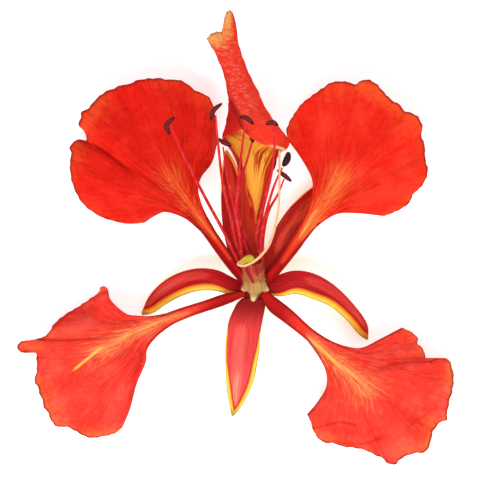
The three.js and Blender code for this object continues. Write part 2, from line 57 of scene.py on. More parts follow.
def linear(hex_colour: str) -> tuple[float, float, float, float]:
    """Turns an sRGB hex colour into linear light.

    Args:
        hex_colour: Colour such as "#e32a1a".

    Returns:
        Red, green, blue and full opacity for a shader socket.
    """
    parts = [int(hex_colour[i:i + 2], 16) / 255 for i in (1, 3, 5)]
    red, green, blue = (p / 12.92 if p <= 0.04045 else ((p + 0.055) / 1.055) ** 2.4 for p in parts)
    return red, green, blue, 1.0


def add_node(tree: NodeTree, kind: str, inputs: dict | None = None, **settings: Any) -> Node:
    """Adds a node with its settings, and sets or links its inputs.

    Args:
        tree: Shader or geometry tree that takes the node.
        kind: Node's type name in Blender.
        inputs: Socket name or number to a value, or to the output socket that feeds it.
        settings: Properties of the node itself.

    Returns:
        The new node.
    """
    node = tree.nodes.new(kind)
    for name, value in settings.items():
        setattr(node, name, value)
    for key, value in (inputs or {}).items():
        socket = node.inputs[key]
        if isinstance(value, NodeSocket):
            tree.links.new(value, socket)
        else:
            socket.default_value = value
    return node


class Ground(Enum):
    """What a pattern lies on."""

    SKIN = "the skin's own UV map"
    SOLID = "the solid itself"
    BARBS = "the barbs beside a middle vein"


@dataclass(frozen=True)
class Pattern:
    """Soft noise whose grains have a real size in millimetres, across and along what it lies on."""

    across_mm: float
    along_mm: float
    ground: Ground = Ground.SKIN
    detail: float = 3.0
    roughness: float = 0.55


@dataclass(frozen=True)
class Coat:
    """One colour laid over the last, where its mark on the mesh and its pattern run from low to high.

    With a wobble, the pattern shifts the mark's edge to and fro by that much; without one, it breaks the
    marked area up.
    """

    colour: str
    strength: float = 1.0
    mark: str = ""
    pattern: str = ""
    low: float = 0.0
    high: float = 1.0
    wobble: float = 0.0


@dataclass(frozen=True)
class Relief:
    """One layer of fine relief: how deep a pattern goes in millimetres, and the mark that it fades with."""

    pattern: str
    depth_mm: float
    mark: str = ""


@dataclass(frozen=True)
class Finish:
    """A real surface: its patterns, the coats of colour over its base, its fine relief and its gloss.

    Its glow is light it gives off in its own colour, where its mark says so: the light table's own light on
    the floor, and painted light that lifts the shade on a petal.
    """

    name: str
    base: str
    patterns: dict[str, Pattern]
    coats: tuple[Coat, ...] = ()
    reliefs: tuple[Relief, ...] = ()
    roughness: float = 0.5
    specular: float = 0.1
    skin_mm: tuple[float, float] = (1.0, 1.0)
    glow: float = 0.0
    glow_mark: str = ""

    def _grain(self, tree: NodeTree, pattern: Pattern) -> NodeSocket:
        """Lays one pattern's noise.

        Args:
            tree: Material's tree.
            pattern: Pattern to lay.

        Returns:
            Socket that carries the pattern, 0 to 1.
        """
        if pattern.ground is Ground.SKIN:
            place = add_node(tree, "ShaderNodeUVMap", uv_map="UVMap").outputs[0]
            scale = (self.skin_mm[0] / pattern.across_mm, self.skin_mm[1] / pattern.along_mm, 1.0)
        elif pattern.ground is Ground.SOLID:
            place = add_node(tree, "ShaderNodeTexCoord").outputs["Object"]
            scale = (1 / (pattern.across_mm * MM), 1 / (pattern.along_mm * MM), 1 / (pattern.across_mm * MM))
        else:
            barb, beside = (add_node(tree, "ShaderNodeAttribute", attribute_name=name).outputs["Fac"]
                            for name in ("barb", "beside"))
            place = add_node(tree, "ShaderNodeCombineXYZ", {0: beside, 1: barb}).outputs[0]
            scale = (1 / pattern.across_mm, 1 / pattern.along_mm, 1.0)
        sized = add_node(tree, "ShaderNodeMapping", {"Vector": place, "Scale": scale}).outputs[0]
        return add_node(tree, "ShaderNodeTexNoise", {
            "Vector": sized, "Scale": 1.0, "Detail": pattern.detail, "Roughness": pattern.roughness,
        }).outputs["Fac"]

    def _cover(self, tree: NodeTree, coat: Coat, grains: dict[str, NodeSocket]) -> Any:
        """Works out how far a coat covers what lies under it.

        Args:
            tree: Material's tree.
            coat: Coat of colour.
            grains: Sockets of the patterns by name.

        Returns:
            Socket from 0 to the coat's strength, or the strength itself for a coat laid everywhere.
        """
        grain, mark, shift = grains.get(coat.pattern), None, 0.0
        if coat.mark:
            mark = add_node(tree, "ShaderNodeAttribute", attribute_name=coat.mark).outputs["Fac"]
        if grain is None and mark is None:
            return coat.strength
        value = mark if grain is None else grain
        if grain and mark and coat.wobble:
            value = add_node(tree, "ShaderNodeMath", {0: grain, 1: coat.wobble, 2: mark},
                             operation="MULTIPLY_ADD").outputs[0]
            shift = 0.5 * coat.wobble
        cover = add_node(tree, "ShaderNodeMapRange", {
            0: value, 1: coat.low + shift, 2: coat.high + shift, 4: coat.strength,
        }, interpolation_type="SMOOTHSTEP").outputs[0]
        if grain and mark and not coat.wobble:
            cover = add_node(tree, "ShaderNodeMath", {0: cover, 1: mark}, operation="MULTIPLY").outputs[0]
        return cover

    @staticmethod
    def _faded(tree: NodeTree, mark: str, value: float) -> Any:
        """Lets a value fade with a mark on the mesh.

        Args:
            tree: Material's tree.
            mark: Name of the mark, or nothing for a value that is the same everywhere.
            value: Value where the mark is 1.

        Returns:
            Socket that carries the faded value, or the value itself.
        """
        if not mark:
            return value
        share = add_node(tree, "ShaderNodeAttribute", attribute_name=mark).outputs["Fac"]
        return add_node(tree, "ShaderNodeMath", {0: share, 1: value}, operation="MULTIPLY").outputs[0]

    def make(self) -> Material:
        """Builds the node material.

        Returns:
            The material, named for the real surface.
        """
        material = bpy.data.materials.new(self.name)
        material.use_nodes = True
        tree = material.node_tree
        tree.nodes.clear()
        grains = {name: self._grain(tree, pattern) for name, pattern in self.patterns.items()}
        colour: Any = linear(self.base)
        for coat in self.coats:
            inputs = {0: self._cover(tree, coat, grains), 6: colour, 7: linear(coat.colour)}
            colour = add_node(tree, "ShaderNodeMix", inputs, data_type="RGBA").outputs[2]
        surface = {"Base Color": colour, "Roughness": self.roughness, "Specular IOR Level": self.specular,
                   "Emission Color": colour,
                   "Emission Strength": self._faded(tree, self.glow_mark, self.glow)}
        height: Any = 0.0
        for relief in self.reliefs:
            depth = self._faded(tree, relief.mark, relief.depth_mm)
            height = add_node(tree, "ShaderNodeMath", {0: grains[relief.pattern], 1: depth, 2: height},
                              operation="MULTIPLY_ADD").outputs[0]
        if self.reliefs:
            bump = add_node(tree, "ShaderNodeBump", {"Height": height, "Strength": 1.0, "Distance": MM})
            surface["Normal"] = bump.outputs[0]
        shader = add_node(tree, "ShaderNodeBsdfPrincipled", surface)
        add_node(tree, "ShaderNodeOutputMaterial", {"Surface": shader.outputs[0]})
        return material


def made(finish: Finish) -> Material:
    """Gives the material of a finish, built at its first use and shared after that."""
    return bpy.data.materials.get(finish.name) or finish.make()


def petal_skin(name: str, body: str, deep: str, light: str, warm: str, throat: str) -> Finish:
    """Makes a living petal skin: thin, moist cells, crinkled like crepe, so satin without hard highlights.

    Long thin streaks run from the claw to the margin and are darkest where the blade opens. Real cells are
    far too fine to show, so the crepe is drawn as coarse as 0.5 mm.

    Args:
        name: Material's name.
        body: Main red.
        deep: Red of folds, streaks and shaded parts.
        light: Red of the parts that catch the light.
        warm: Orange of the margin.
        throat: Orange of the streaks in the throat.

    Returns:
        The finish.
    """
    patterns = {
        "threads": Pattern(0.36, 9.0, detail=4.0, roughness=0.6),
        "fans": Pattern(1.5, 16.0),
        "crepe": Pattern(0.5, 1.3, detail=2.0),
        "ripples": Pattern(1.6, 0.6, roughness=0.65),
        "clouds": Pattern(8.0, 8.0, Ground.SOLID, detail=2.0),
        "blots": Pattern(1.6, 1.6, Ground.SOLID),
        "barbs": Pattern(3.2, 0.95, Ground.BARBS, detail=4.0, roughness=0.68),
    }
    coats = (
        Coat(light, 0.7, pattern="clouds", low=0.45, high=0.7),
        Coat(warm, 0.75, mark="warm", pattern="blots", high=0.9, wobble=0.7),
        Coat(light, 0.55, mark="pleat", pattern="fans", low=0.5, high=0.72),
        # Painted shade, broad and soft
        Coat(deep, 0.7, mark="painted_soft_shade"),
        Coat(deep, 0.75, mark="pleat", pattern="threads", low=0.5, high=0.66),
        Coat(deep, 0.35, mark="ribs", pattern="threads", low=0.52, high=0.7),
        Coat(deep, 0.28, pattern="crepe", low=0.5, high=0.75),
        Coat(deep, 0.22, mark="ribs", pattern="ripples", low=0.52, high=0.72),
        Coat(light, 0.35, pattern="blots", low=0.52, high=0.72),
        Coat(throat, 0.85, mark="throat", pattern="threads", low=0.3, high=0.85, wobble=2.0),
        Coat("#fb9456", 0.85, mark="feather", pattern="barbs", low=0.46, high=0.64),
        Coat("#fdc45c", 0.95, mark="gold", pattern="threads", low=0.35, wobble=1.6),
        Coat("#a80a10", 0.9, mark="claw"),
        Coat("#d8281c", 0.6, mark="claw", pattern="threads", low=0.5, high=0.64),
        Coat("#840c10", 0.6, mark="hem"),
        Coat(deep, mark="shade"),
        Coat("#8a1e14", 0.9, mark="rim"),
    )
    reliefs = (Relief("threads", 0.32, "pleat"), Relief("crepe", 0.07), Relief("ripples", 0.07, "ribs"),
               Relief("fans", 0.5, "pleat"))
    return Finish(name, body, patterns, coats, reliefs, 0.6, 0.06, (44.0, 66.0))


def leather_skin(name: str, body: str, deep: str, light: str, ribbed: float = 0.75) -> Finish:
    """Makes a sepal's skin: thick and leathery, finely ribbed lengthwise, with a yellow and olive margin.

    Real pores are a few hundredths of a millimetre and too fine to show, so they are drawn 0.3 mm wide.

    Args:
        name: Material's name.
        body: Main red.
        deep: Red between the ribs, and of the painted shade near the cup.
        light: Red of the crown, which catches the light.
        ribbed: How dark the furrows between the ribs are, 0 to 1.

    Returns:
        The finish.
    """
    patterns = {
        "ribs": Pattern(0.45, 9.0, detail=4.0, roughness=0.6),
        "blots": Pattern(1.0, 7.0),
        "pores": Pattern(0.3, 0.4, detail=2.0),
    }
    coats = (
        Coat(light, 0.8, mark="light", pattern="blots", low=0.3, high=0.8, wobble=0.5),
        Coat(deep, ribbed, pattern="ribs", low=0.48, high=0.68),
        Coat(light, 0.3, pattern="ribs", low=0.5, high=0.3),
        Coat("#fbac8a", 0.8, mark="sheen", pattern="ribs", low=0.2, high=1.2, wobble=1.8),
        # Painted shade near the cup
        Coat(deep, 0.9, mark="painted_soft_shade"),
        Coat("#8e0d0a", 0.8, mark="edge", pattern="ribs", low=0.02, high=0.14, wobble=0.1),
        Coat("#e8561c", mark="edge", pattern="ribs", low=0.17, high=0.32, wobble=0.14),
        Coat("#f6a62c", mark="edge", pattern="ribs", low=0.34, high=0.48, wobble=0.14),
        Coat("#f7cf45", 0.9, mark="edge", pattern="blots", low=0.52, high=0.68, wobble=0.12),
        Coat("#a09434", 0.9, mark="edge", pattern="blots", low=0.8, high=0.97, wobble=0.1),
        Coat("#8e8c2e", 0.8, mark="green", pattern="blots", low=0.2, high=0.7, wobble=0.3),
        Coat("#a9a848", mark="back"),
    )
    reliefs = (Relief("ribs", 0.14), Relief("pores", 0.03))
    return Finish(name, body, patterns, coats, reliefs, 0.42, 0.12, (7.0, 32.0))


def thread_skin(name: str, root: str, middle: str, tip: str, light: str) -> Finish:
    """Makes the skin of a filament or of the style: smooth and moist, its colour running along the thread.

    Its cells are too fine to show, so the skin is mottled in flecks as coarse as 0.9 mm.

    Args:
        name: Material's name.
        root: Colour at the foot.
        middle: Colour half-way.
        tip: Colour at the far end.
        light: Colour of its paler flecks.

    Returns:
        The finish.
    """
    patterns = {"mottle": Pattern(0.9, 2.4, Ground.SOLID)}
    coats = (
        Coat(middle, mark="run", high=0.35),
        Coat(tip, mark="run", low=0.55),
        Coat(light, 0.5, pattern="mottle", low=0.5, high=0.68),
    )
    return Finish(name, root, patterns, coats, (Relief("mottle", 0.05),), 0.4, 0.14)


def grained_skin(name: str, body: str, other: str, grain_mm: float, roughness: float = 0.7) -> Finish:
    """Makes a matt, finely grained plant skin.

    Real felt, wool and pollen have grains under 0.1 mm, too fine to show, so grain_mm is as coarse as needed.

    Args:
        name: Material's name.
        body: Main colour.
        other: Colour of its grains and patches.
        grain_mm: Size of a grain.
        roughness: Roughness of the surface.

    Returns:
        The finish.
    """
    patterns = {
        "grain": Pattern(grain_mm, grain_mm, Ground.SOLID, roughness=0.6),
        "patches": Pattern(5 * grain_mm, 5 * grain_mm, Ground.SOLID, detail=2.0),
    }
    coats = (Coat(other, 0.5, pattern="grain", low=0.45, high=0.7),
             Coat(other, 0.5, pattern="patches", low=0.45, high=0.7))
    return Finish(name, body, patterns, coats, (Relief("grain", 0.07),), roughness, 0.2)


# Upper left petal: deep scarlet skin, duller where it turns from the light
UPPER_PETAL = petal_skin("petal skin, scarlet", "#da190d", "#9a0604", "#ec2c1a", "#ea5226", "#f26a2c")

# Upper right petal: the same scarlet, turned to the light
BRIGHT_PETAL = petal_skin("petal skin, bright scarlet", "#ea2414", "#b40a06", "#f83e28", "#f25e2a", "#f9803a")

# Lower petals: the same skin, paler and pinker because they lie open to the light
LOWER_PETAL = petal_skin("petal skin, light scarlet", "#f2382c", "#bc100c", "#fb5a48", "#f87a40", "#fba060")

# Sepals in front: glossy crimson leather
FRONT_SEPAL = leather_skin("sepal skin, crimson", "#c0141a", "#86060a", "#de3a34")

# Lowest sepal: the same leather turned to the light, coral
LIT_SEPAL = leather_skin("sepal skin, coral", "#de3838", "#820406", "#ee5a50", 0.35)

# Sepals behind: the same leather in shade, brown-red
BACK_SEPAL = leather_skin("sepal skin, brown-red", "#a81812", "#660806", "#da4a2e")

# Standard petal: crinkled scarlet outside with fine pale flecks, golden inside with long dark-red bars. Its
# real cells are too fine to show, so the crepe is drawn 0.5 mm wide.
STANDARD_SKIN = Finish(
    "petal skin, golden and streaked", "#cc3420",
    {
        "threads": Pattern(0.35, 7.0, detail=4.0, roughness=0.6),
        "bars": Pattern(1.0, 13.0),
        "crepe": Pattern(0.5, 0.8, roughness=0.6),
        "flecks": Pattern(1.3, 0.5, Ground.SOLID, detail=4.0, roughness=0.65),
    },
    (
        Coat("#9c0e0a", 0.7, pattern="threads", low=0.48, high=0.66),
        Coat("#e5a038", mark="wedge", pattern="bars", low=0.2, high=0.5, wobble=0.9),
        Coat("#ee9440", 0.6, mark="wedge", pattern="threads", low=0.5, high=0.66),
        Coat("#dc6a30", 0.9, mark="strands", pattern="threads", low=0.25, high=0.7, wobble=0.6),
        Coat("#a01804", 0.95, mark="bars", pattern="bars", low=0.56, high=0.6),
        Coat("#b02a0c", 0.9, mark="fray", pattern="threads", low=0.46, high=0.58),
        Coat("#dc2c1a", mark="back"),
        Coat("#f88a70", 0.55, mark="pale", pattern="flecks", low=0.42, high=0.76),
        Coat("#f0523a", 0.5, mark="back", pattern="crepe", low=0.5, high=0.72),
        Coat("#c0140c", 0.35, mark="back", pattern="threads", low=0.52, high=0.7),
        # Painted shade on the left side below the mouth, under the right side's flap
        Coat("#b40c0c", 0.85, mark="side"),
        Coat("#e4a658", 0.85, mark="tip", pattern="flecks", low=0.2, high=0.95, wobble=1.1),
        Coat("#dc4c28", 0.6, mark="tip", pattern="threads", low=0.5, high=0.62),
        Coat("#e8805a", 0.5, mark="tip", pattern="flecks", low=0.55, high=0.66),
        Coat("#f3c98a", 0.8, mark="lip"),
        Coat("#8e0806", mark="shade"),
        Coat("#8c3a14", 0.8, mark="rim"),
    ),
    (Relief("crepe", 0.16), Relief("threads", 0.1)),
    # Glow 0.32 on the mark lit: painted light that lifts the shade of the trough and the claw
    0.52, 0.1, (18.0, 62.0), 0.32, "lit",
)

# Filaments: smooth crimson threads that pale towards the anther
FILAMENT_SKIN = thread_skin("filament skin, crimson", "#9c0808", "#c60c12", "#da222e", "#f0564e")

# Style: a smooth salmon thread, cream where it leaves the ovary
STYLE_SKIN = thread_skin("style skin, salmon", "#f0b878", "#f2b084", "#e4a468", "#f8c89c")

# Anthers: dark maroon, dry and finely grained; the paler groove between the lobes is partly the connective's
# own colour, partly a painted highlight. The real grain is too fine to show, so it is drawn 0.45 mm wide.
ANTHER_SKIN = Finish(
    "anther skin, maroon", "#3a0610",
    {"grain": Pattern(0.45, 0.45, Ground.SOLID, roughness=0.6)},
    (Coat("#66121e", 0.7, pattern="grain", low=0.48, high=0.7), Coat("#8a2c3a", 0.6, mark="groove")),
    (Relief("grain", 0.08),), 0.6, 0.15,
)

# Shrivelled anther: almost black
DRY_ANTHER_SKIN = grained_skin("anther skin, dried", "#160406", "#3a0c12", 0.5, 0.6)

# Pollen: dull red dust that roughens the anthers' outline
POLLEN_SKIN = grained_skin("pollen, dark red", "#541018", "#93323a", 0.1)

# Runs of colour that come down from the filaments: orange brown, then red, with dark and pale bands
RUN_COATS = (
    Coat("#a05020", 0.9, mark="run", pattern="runs", low=0.25, high=0.8, wobble=0.9),
    Coat("#981a0e", 0.85, mark="red", pattern="runs", low=0.3, high=0.8, wobble=1.2),
    Coat("#8c0808", mark="band", pattern="runs", low=0.3, high=0.7, wobble=0.5),
    Coat("#c43c34", 0.85, mark="pale", pattern="runs", low=0.3, high=0.8, wobble=0.5),
)

# Collar of filament bases: cream below, with the runs over it
COLLAR_SKIN = Finish(
    "filament bases, cream and red", "#b48c4e",
    {
        "runs": Pattern(0.8, 6.0, roughness=0.6),
        "grain": Pattern(0.4, 0.5, Ground.SOLID),
    },
    (
        Coat("#c49c5c", 0.6, pattern="grain", low=0.4, high=0.7),
        Coat("#9a6a34", 0.45, pattern="runs", low=0.5, high=0.75),
        *RUN_COATS,
        # Painted shade towards both ends of the collar
        Coat("#74100c", 0.85, mark="painted_soft_shade", pattern="runs", low=0.3, high=0.8, wobble=0.6),
    ),
    (Relief("runs", 0.3), Relief("grain", 0.05)),
    0.5, 0.2, (6.0, 5.3),
)

# Stamen foot: cream, woolly skin that greens between its five points
FOOT_SKIN = Finish(
    "stamen foot, cream and woolly", "#b48c4e",
    {"grain": Pattern(0.5, 0.5, Ground.SOLID), "runs": Pattern(1.0, 5.0)},
    (
        Coat("#a4642c", 0.6, pattern="runs", low=0.46, high=0.66),
        Coat("#e2cb96", 0.9, mark="crown", pattern="grain", low=0.2, high=0.9, wobble=0.6),
        Coat("#8e803e", 0.6, mark="low", pattern="runs", low=0.3, high=0.9, wobble=0.7),
        *RUN_COATS,
    ),
    (Relief("grain", 0.1), Relief("runs", 0.2)), 0.7, 0.15, (19.0, 9.0),
)

# Wool on the foot: short cream hairs that soften its outline
WOOL_SKIN = grained_skin("wool, cream", "#ead9a8", "#d8c080", 0.3)

# Calyx cup: felted green, and dark red inside its rim. Real felt is too fine to show, so its grain is drawn
# 0.4 mm wide.
CUP_SKIN = Finish(
    "calyx skin, felted green", "#9a9a48",
    {"felt": Pattern(0.4, 0.4, Ground.SOLID, roughness=0.6)},
    (Coat("#b08a48", 0.7, pattern="felt", low=0.4, high=0.7), Coat("#7c0a0c", mark="inside")),
    (Relief("felt", 0.08),), 0.7, 0.15,
)

# Ovary: yellow-green and softly felted
OVARY_SKIN = grained_skin("ovary skin, yellow-green", "#dccb3c", "#a8982a", 0.45)

# Floor: a white light table, faintly lit from inside, so that shadows stay pale. The tooth of matt acrylic is
# too fine to show, so it is drawn 2.5 mm wide.
FLOOR_SKIN = Finish("opal acrylic, matt white", "#fbfbfb", {"tooth": Pattern(2.5, 2.5, Ground.SOLID)},
                    reliefs=(Relief("tooth", 0.01),), roughness=0.9, glow=0.435)


# Curves and meshes

class PlanCurve:
    """A smooth curve through points of any dimension, measured by its length."""

    def __init__(self, points: Sequence[Sequence[float]], steps: int = 40) -> None:
        """Samples a soft curve through the knots, paced by the square roots of the gaps between them.

        Args:
            points: Knots that the curve runs through.
            steps: Samples from each knot to the next.
        """
        knots = np.array(points, dtype=float)
        padded = np.vstack([2 * knots[0] - knots[1], knots, 2 * knots[-1] - knots[-2]])
        spans = [self._span(padded[i:i + 4], steps) for i in range(len(knots) - 1)]
        self.samples = np.vstack([*spans, knots[-1:]])
        lengths = np.linalg.norm(np.diff(self.samples, axis=0), axis=1)
        self.reach = np.concatenate([[0.0], np.cumsum(lengths)])
        self.steps = steps

    @staticmethod
    def _span(four: Array, steps: int) -> Array:
        """Samples the curve from the second to the third of four knots.

        Args:
            four: The knots, one per row.
            steps: Number of samples, without the third knot itself.

        Returns:
            One point per row.
        """
        gaps = np.maximum(np.linalg.norm(np.diff(four, axis=0), axis=1) ** 0.5, 1e-6)
        t0, t1, t2, t3 = np.concatenate([[0.0], np.cumsum(gaps)])
        t = np.linspace(t1, t2, steps, endpoint=False)[:, None]
        a1 = (t1 - t) / (t1 - t0) * four[0] + (t - t0) / (t1 - t0) * four[1]
        a2 = (t2 - t) / (t2 - t1) * four[1] + (t - t1) / (t2 - t1) * four[2]
        a3 = (t3 - t) / (t3 - t2) * four[2] + (t - t2) / (t3 - t2) * four[3]
        b1 = (t2 - t) / (t2 - t0) * a1 + (t - t0) / (t2 - t0) * a2
        b2 = (t3 - t) / (t3 - t1) * a2 + (t - t1) / (t3 - t1) * a3
        return (t2 - t) / (t2 - t1) * b1 + (t - t1) / (t2 - t1) * b2

    @property
    def length(self) -> float:
        """Whole length of the curve."""
        return float(self.reach[-1])

    def share_of_knot(self, index: int) -> float:
        """Share of the length at which a knot lies."""
        return float(self.reach[index * self.steps] / self.reach[-1])

    def at(self, share: Array) -> Array:
        """Reads points off the curve.

        Args:
            share: Shares 0 to 1 of the length, of any shape.

        Returns:
            Points of the shape of share, with one more axis for their coordinates.
        """
        distance = np.clip(share, 0.0, 1.0) * self.reach[-1]
        columns = [np.interp(distance, self.reach, self.samples[:, k]) for k in range(self.samples.shape[1])]
        return np.stack(columns, axis=-1)


def smoothstep(value: Array, low: float, high: float) -> Array:
    """Rises softly from 0 to 1.

    Args:
        value: Numbers of any shape.
        low: Where it leaves 0.
        high: Where it reaches 1; below low, it falls instead.

    Returns:
        Shares of the same shape.
    """
    t = np.clip((value - low) / (high - low), 0.0, 1.0)
    return t * t * (3 - 2 * t)


def between(value: Array, rise: tuple[float, float], fall: tuple[float, float]) -> Array:
    """Rises softly from 0 to 1 and falls back to 0.

    Args:
        value: Numbers of any shape.
        rise: Where it leaves 0 and where it reaches 1.
        fall: Where it leaves 1 and where it is back at 0.

    Returns:
        Shares of the same shape.
    """
    return smoothstep(value, *rise) * (1 - smoothstep(value, *fall))


def along(values: Sequence[float], share: Array) -> Array:
    """Reads evenly spaced numbers as a smooth curve.

    Args:
        values: Numbers that the curve runs through.
        share: Places between the first, 0, and the last, 1.

    Returns:
        Numbers of the same shape as share.
    """
    numbers = np.array(values, dtype=float)
    place = np.clip(share, 0.0, 1.0) * (len(numbers) - 1)
    index = np.minimum(place.astype(int), len(numbers) - 2)
    f = place - index
    before = numbers[np.maximum(index - 1, 0)]
    after = numbers[np.minimum(index + 2, len(numbers) - 1)]
    a, b = numbers[index], numbers[index + 1]
    square = 2 * before - 5 * a + 4 * b - after
    cube = 3 * (a - b) + after - before
    return a + 0.5 * f * (b - before + f * (square + f * cube))


def line_distance(xy: Array, course: Sequence[Point2]) -> tuple[Array, Array, Array]:
    """Signed place of plan points beside a course.

    Args:
        xy: Points of shape (..., 2), in millimetres.
        course: Points that the course runs through.

    Returns:
        Distance in millimetres, positive to the left of the course; its size; and the distance along the
        course of the nearest place on it. All have the shape (...).
    """
    curve = PlanCurve(course, 14)
    start, step = curve.samples[:-1], np.diff(curve.samples, axis=0)
    flat = xy.reshape(-1, 1, 2) - start[None]
    share = np.clip((flat * step).sum(axis=2) / (step ** 2).sum(axis=1), 0, 1)
    gaps = np.linalg.norm(flat - share[..., None] * step[None], axis=2)
    nearest = np.argmin(gaps, axis=1)
    rows = np.arange(len(nearest))
    gap = gaps[rows, nearest]
    place = curve.reach[nearest] + share[rows, nearest] * np.linalg.norm(step, axis=1)[nearest]
    turn = step[nearest, 0] * flat[rows, nearest, 1] - step[nearest, 1] * flat[rows, nearest, 0]
    shape = xy.shape[:-1]
    return (np.sign(turn) * gap).reshape(shape), gap.reshape(shape), place.reshape(shape)


def waver(place: Array, seed: int, octaves: int = 4) -> Array:
    """Wavers smoothly round 0 along a coordinate.

    Args:
        place: Coordinate, with about one bend to each unit at its coarsest.
        seed: Fixes the waver.
        octaves: Finer wavers on top of one another, each half as large.

    Returns:
        Numbers of the same shape, mostly between -1 and 1.
    """
    random = np.random.default_rng(seed)
    total = np.zeros_like(place, dtype=float)
    for octave in range(octaves):
        turns = 2.0 ** octave
        total += np.sin(2 * np.pi * (place * turns * random.uniform(0.8, 1.2) + random.uniform())) / turns
    return total / 1.6


def placed(name: str, data: Any) -> Object:
    """Puts an object into the scene.

    Args:
        name: Object's name.
        data: Its mesh, curve, lamp or camera.

    Returns:
        The object, at the origin.
    """
    item = bpy.data.objects.new(name, data)
    bpy.context.scene.collection.objects.link(item)
    return item


@dataclass
class MeshParts:
    """Points, faces and what they carry, before they become a mesh."""

    points: Array
    faces: list[list[int]]
    uv: Array
    marks: dict[str, Array] = field(default_factory=dict)


def make_piece(name: str, parts: MeshParts, skin: Finish) -> Object:
    """Makes a smooth-shaded object at the origin from points in millimetres.

    Args:
        name: Piece's name.
        parts: Points, faces, one UV pair and any marks per point.
        skin: Finish of the whole piece.

    Returns:
        The linked object.
    """
    mesh = bpy.data.meshes.new(name)
    mesh.from_pydata((parts.points * MM).tolist(), [], parts.faces)
    loops = np.zeros(len(mesh.loops), dtype=np.int32)
    mesh.loops.foreach_get("vertex_index", loops)
    layer = mesh.uv_layers.new(name="UVMap")
    layer.data.foreach_set("uv", parts.uv[loops].astype(np.float32).ravel())
    for mark, values in parts.marks.items():
        data = mesh.attributes.new(mark, "FLOAT", "POINT")
        data.data.foreach_set("value", values.astype(np.float32).ravel())
    mesh.polygons.foreach_set("use_smooth", [True] * len(mesh.polygons))
    mesh.materials.append(made(skin))
    mesh.validate()
    mesh.update()
    return placed(name, mesh)


def grid_normals(points: Array) -> Array:
    """Finds the directions square to a surface.

    Args:
        points: Grid of points, (rows, columns, 3).

    Returns:
        Unit normals of the same shape.
    """
    across = np.gradient(points, axis=1)
    lengthwise = np.gradient(points, axis=0)
    normal = np.cross(across, lengthwise)
    return normal / np.maximum(np.linalg.norm(normal, axis=2, keepdims=True), 1e-12)


def closed_sheet(middle: Array, thickness: Array, u: Array, v: Array, marks: dict[str, Array]) -> MeshParts:
    """Gives a grid surface its thickness and closes it round the rim.

    Args:
        middle: Grid of points, (rows, columns, 3), in millimetres.
        thickness: Thickness at each grid point.
        u: Place across, 0 to 1, at each grid point.
        v: Place lengthwise, 0 to 1, at each grid point.
        marks: Numbers at each grid point, by name.

    Returns:
        Parts of a closed mesh: the points of the upper face first, then those of the lower face.
    """
    rows, columns = middle.shape[:2]
    normal = grid_normals(middle)
    if normal[..., 2].mean() < 0:
        normal = -normal
    front = middle + normal * thickness[..., None] / 2
    back = middle - normal * thickness[..., None] / 2
    points = np.vstack([front.reshape(-1, 3), back.reshape(-1, 3)])
    points[:, 2] = np.maximum(points[:, 2], 0.0)
    count = rows * columns
    index = np.arange(count).reshape(rows, columns)
    quads = np.stack([index[:-1, :-1], index[:-1, 1:], index[1:, 1:], index[1:, :-1]], axis=-1).reshape(-1, 4)
    rim = np.concatenate([index[0], index[1:, -1], index[-1, -2::-1], index[-2:0:-1, 0]])
    ahead = np.roll(rim, -1)
    walls = np.stack([ahead, rim, count + rim, count + ahead], axis=1)
    faces = np.vstack([quads, quads[:, ::-1] + count, walls]).tolist()
    uv = np.stack([u, v], axis=-1).reshape(-1, 2)
    side = np.concatenate([np.zeros(count), np.ones(count)])
    doubled = {name: np.tile(values.ravel(), 2) for name, values in marks.items()}
    parts = MeshParts(points, faces, np.vstack([uv, uv]), {**doubled, "back": side})
    if signed_volume(parts) < 0:
        parts.faces = [face[::-1] for face in parts.faces]
    return parts


def signed_volume(parts: MeshParts) -> float:
    """Works out the volume inside closed parts.

    Args:
        parts: Points and faces of three or four corners.

    Returns:
        Volume in cubic millimetres, negative where the faces point inwards.
    """
    total = 0.0
    for corners in (3, 4):
        faces = [face for face in parts.faces if len(face) == corners]
        faces = np.array(faces, dtype=int).reshape(-1, corners)
        for i in range(1, corners - 1):
            a, b, c = (parts.points[faces[:, k]] for k in (0, i, i + 1))
            total += float((a * np.cross(b, c)).sum())
    return total / 6


def lofted(rings: Array, marks: dict[str, Array] | None = None) -> MeshParts:
    """Closes a stack of rings into a body with a fan at each end.

    Args:
        rings: Points of shape (stations, sides, 3), in millimetres.
        marks: Numbers at each point of the rings, by name.

    Returns:
        Parts of the closed mesh.
    """
    stations, sides = rings.shape[:2]
    index = np.arange(stations * sides).reshape(stations, sides)
    ahead = np.roll(index, -1, axis=1)
    quads = np.stack([index[:-1], ahead[:-1], ahead[1:], index[1:]], axis=-1).reshape(-1, 4)
    first, last = stations * sides, stations * sides + 1
    faces = quads.tolist()
    faces += [[first, b, a] for a, b in zip(index[0].tolist(), ahead[0].tolist())]
    faces += [[last, a, b] for a, b in zip(index[-1].tolist(), ahead[-1].tolist())]
    points = np.vstack([rings.reshape(-1, 3), rings[0].mean(axis=0), rings[-1].mean(axis=0)])
    turn, place = np.meshgrid(np.arange(sides) / sides, np.linspace(0, 1, stations))
    uv = np.vstack([np.stack([turn, place], axis=-1).reshape(-1, 2), [[0.5, 0.0]], [[0.5, 1.0]]])
    carried = {name: np.concatenate([values.ravel(), [values[0].mean(), values[-1].mean()]])
               for name, values in (marks or {}).items()}
    parts = MeshParts(points, faces, uv, carried)
    if signed_volume(parts) < 0:
        parts.faces = [face[::-1] for face in parts.faces]
    return parts


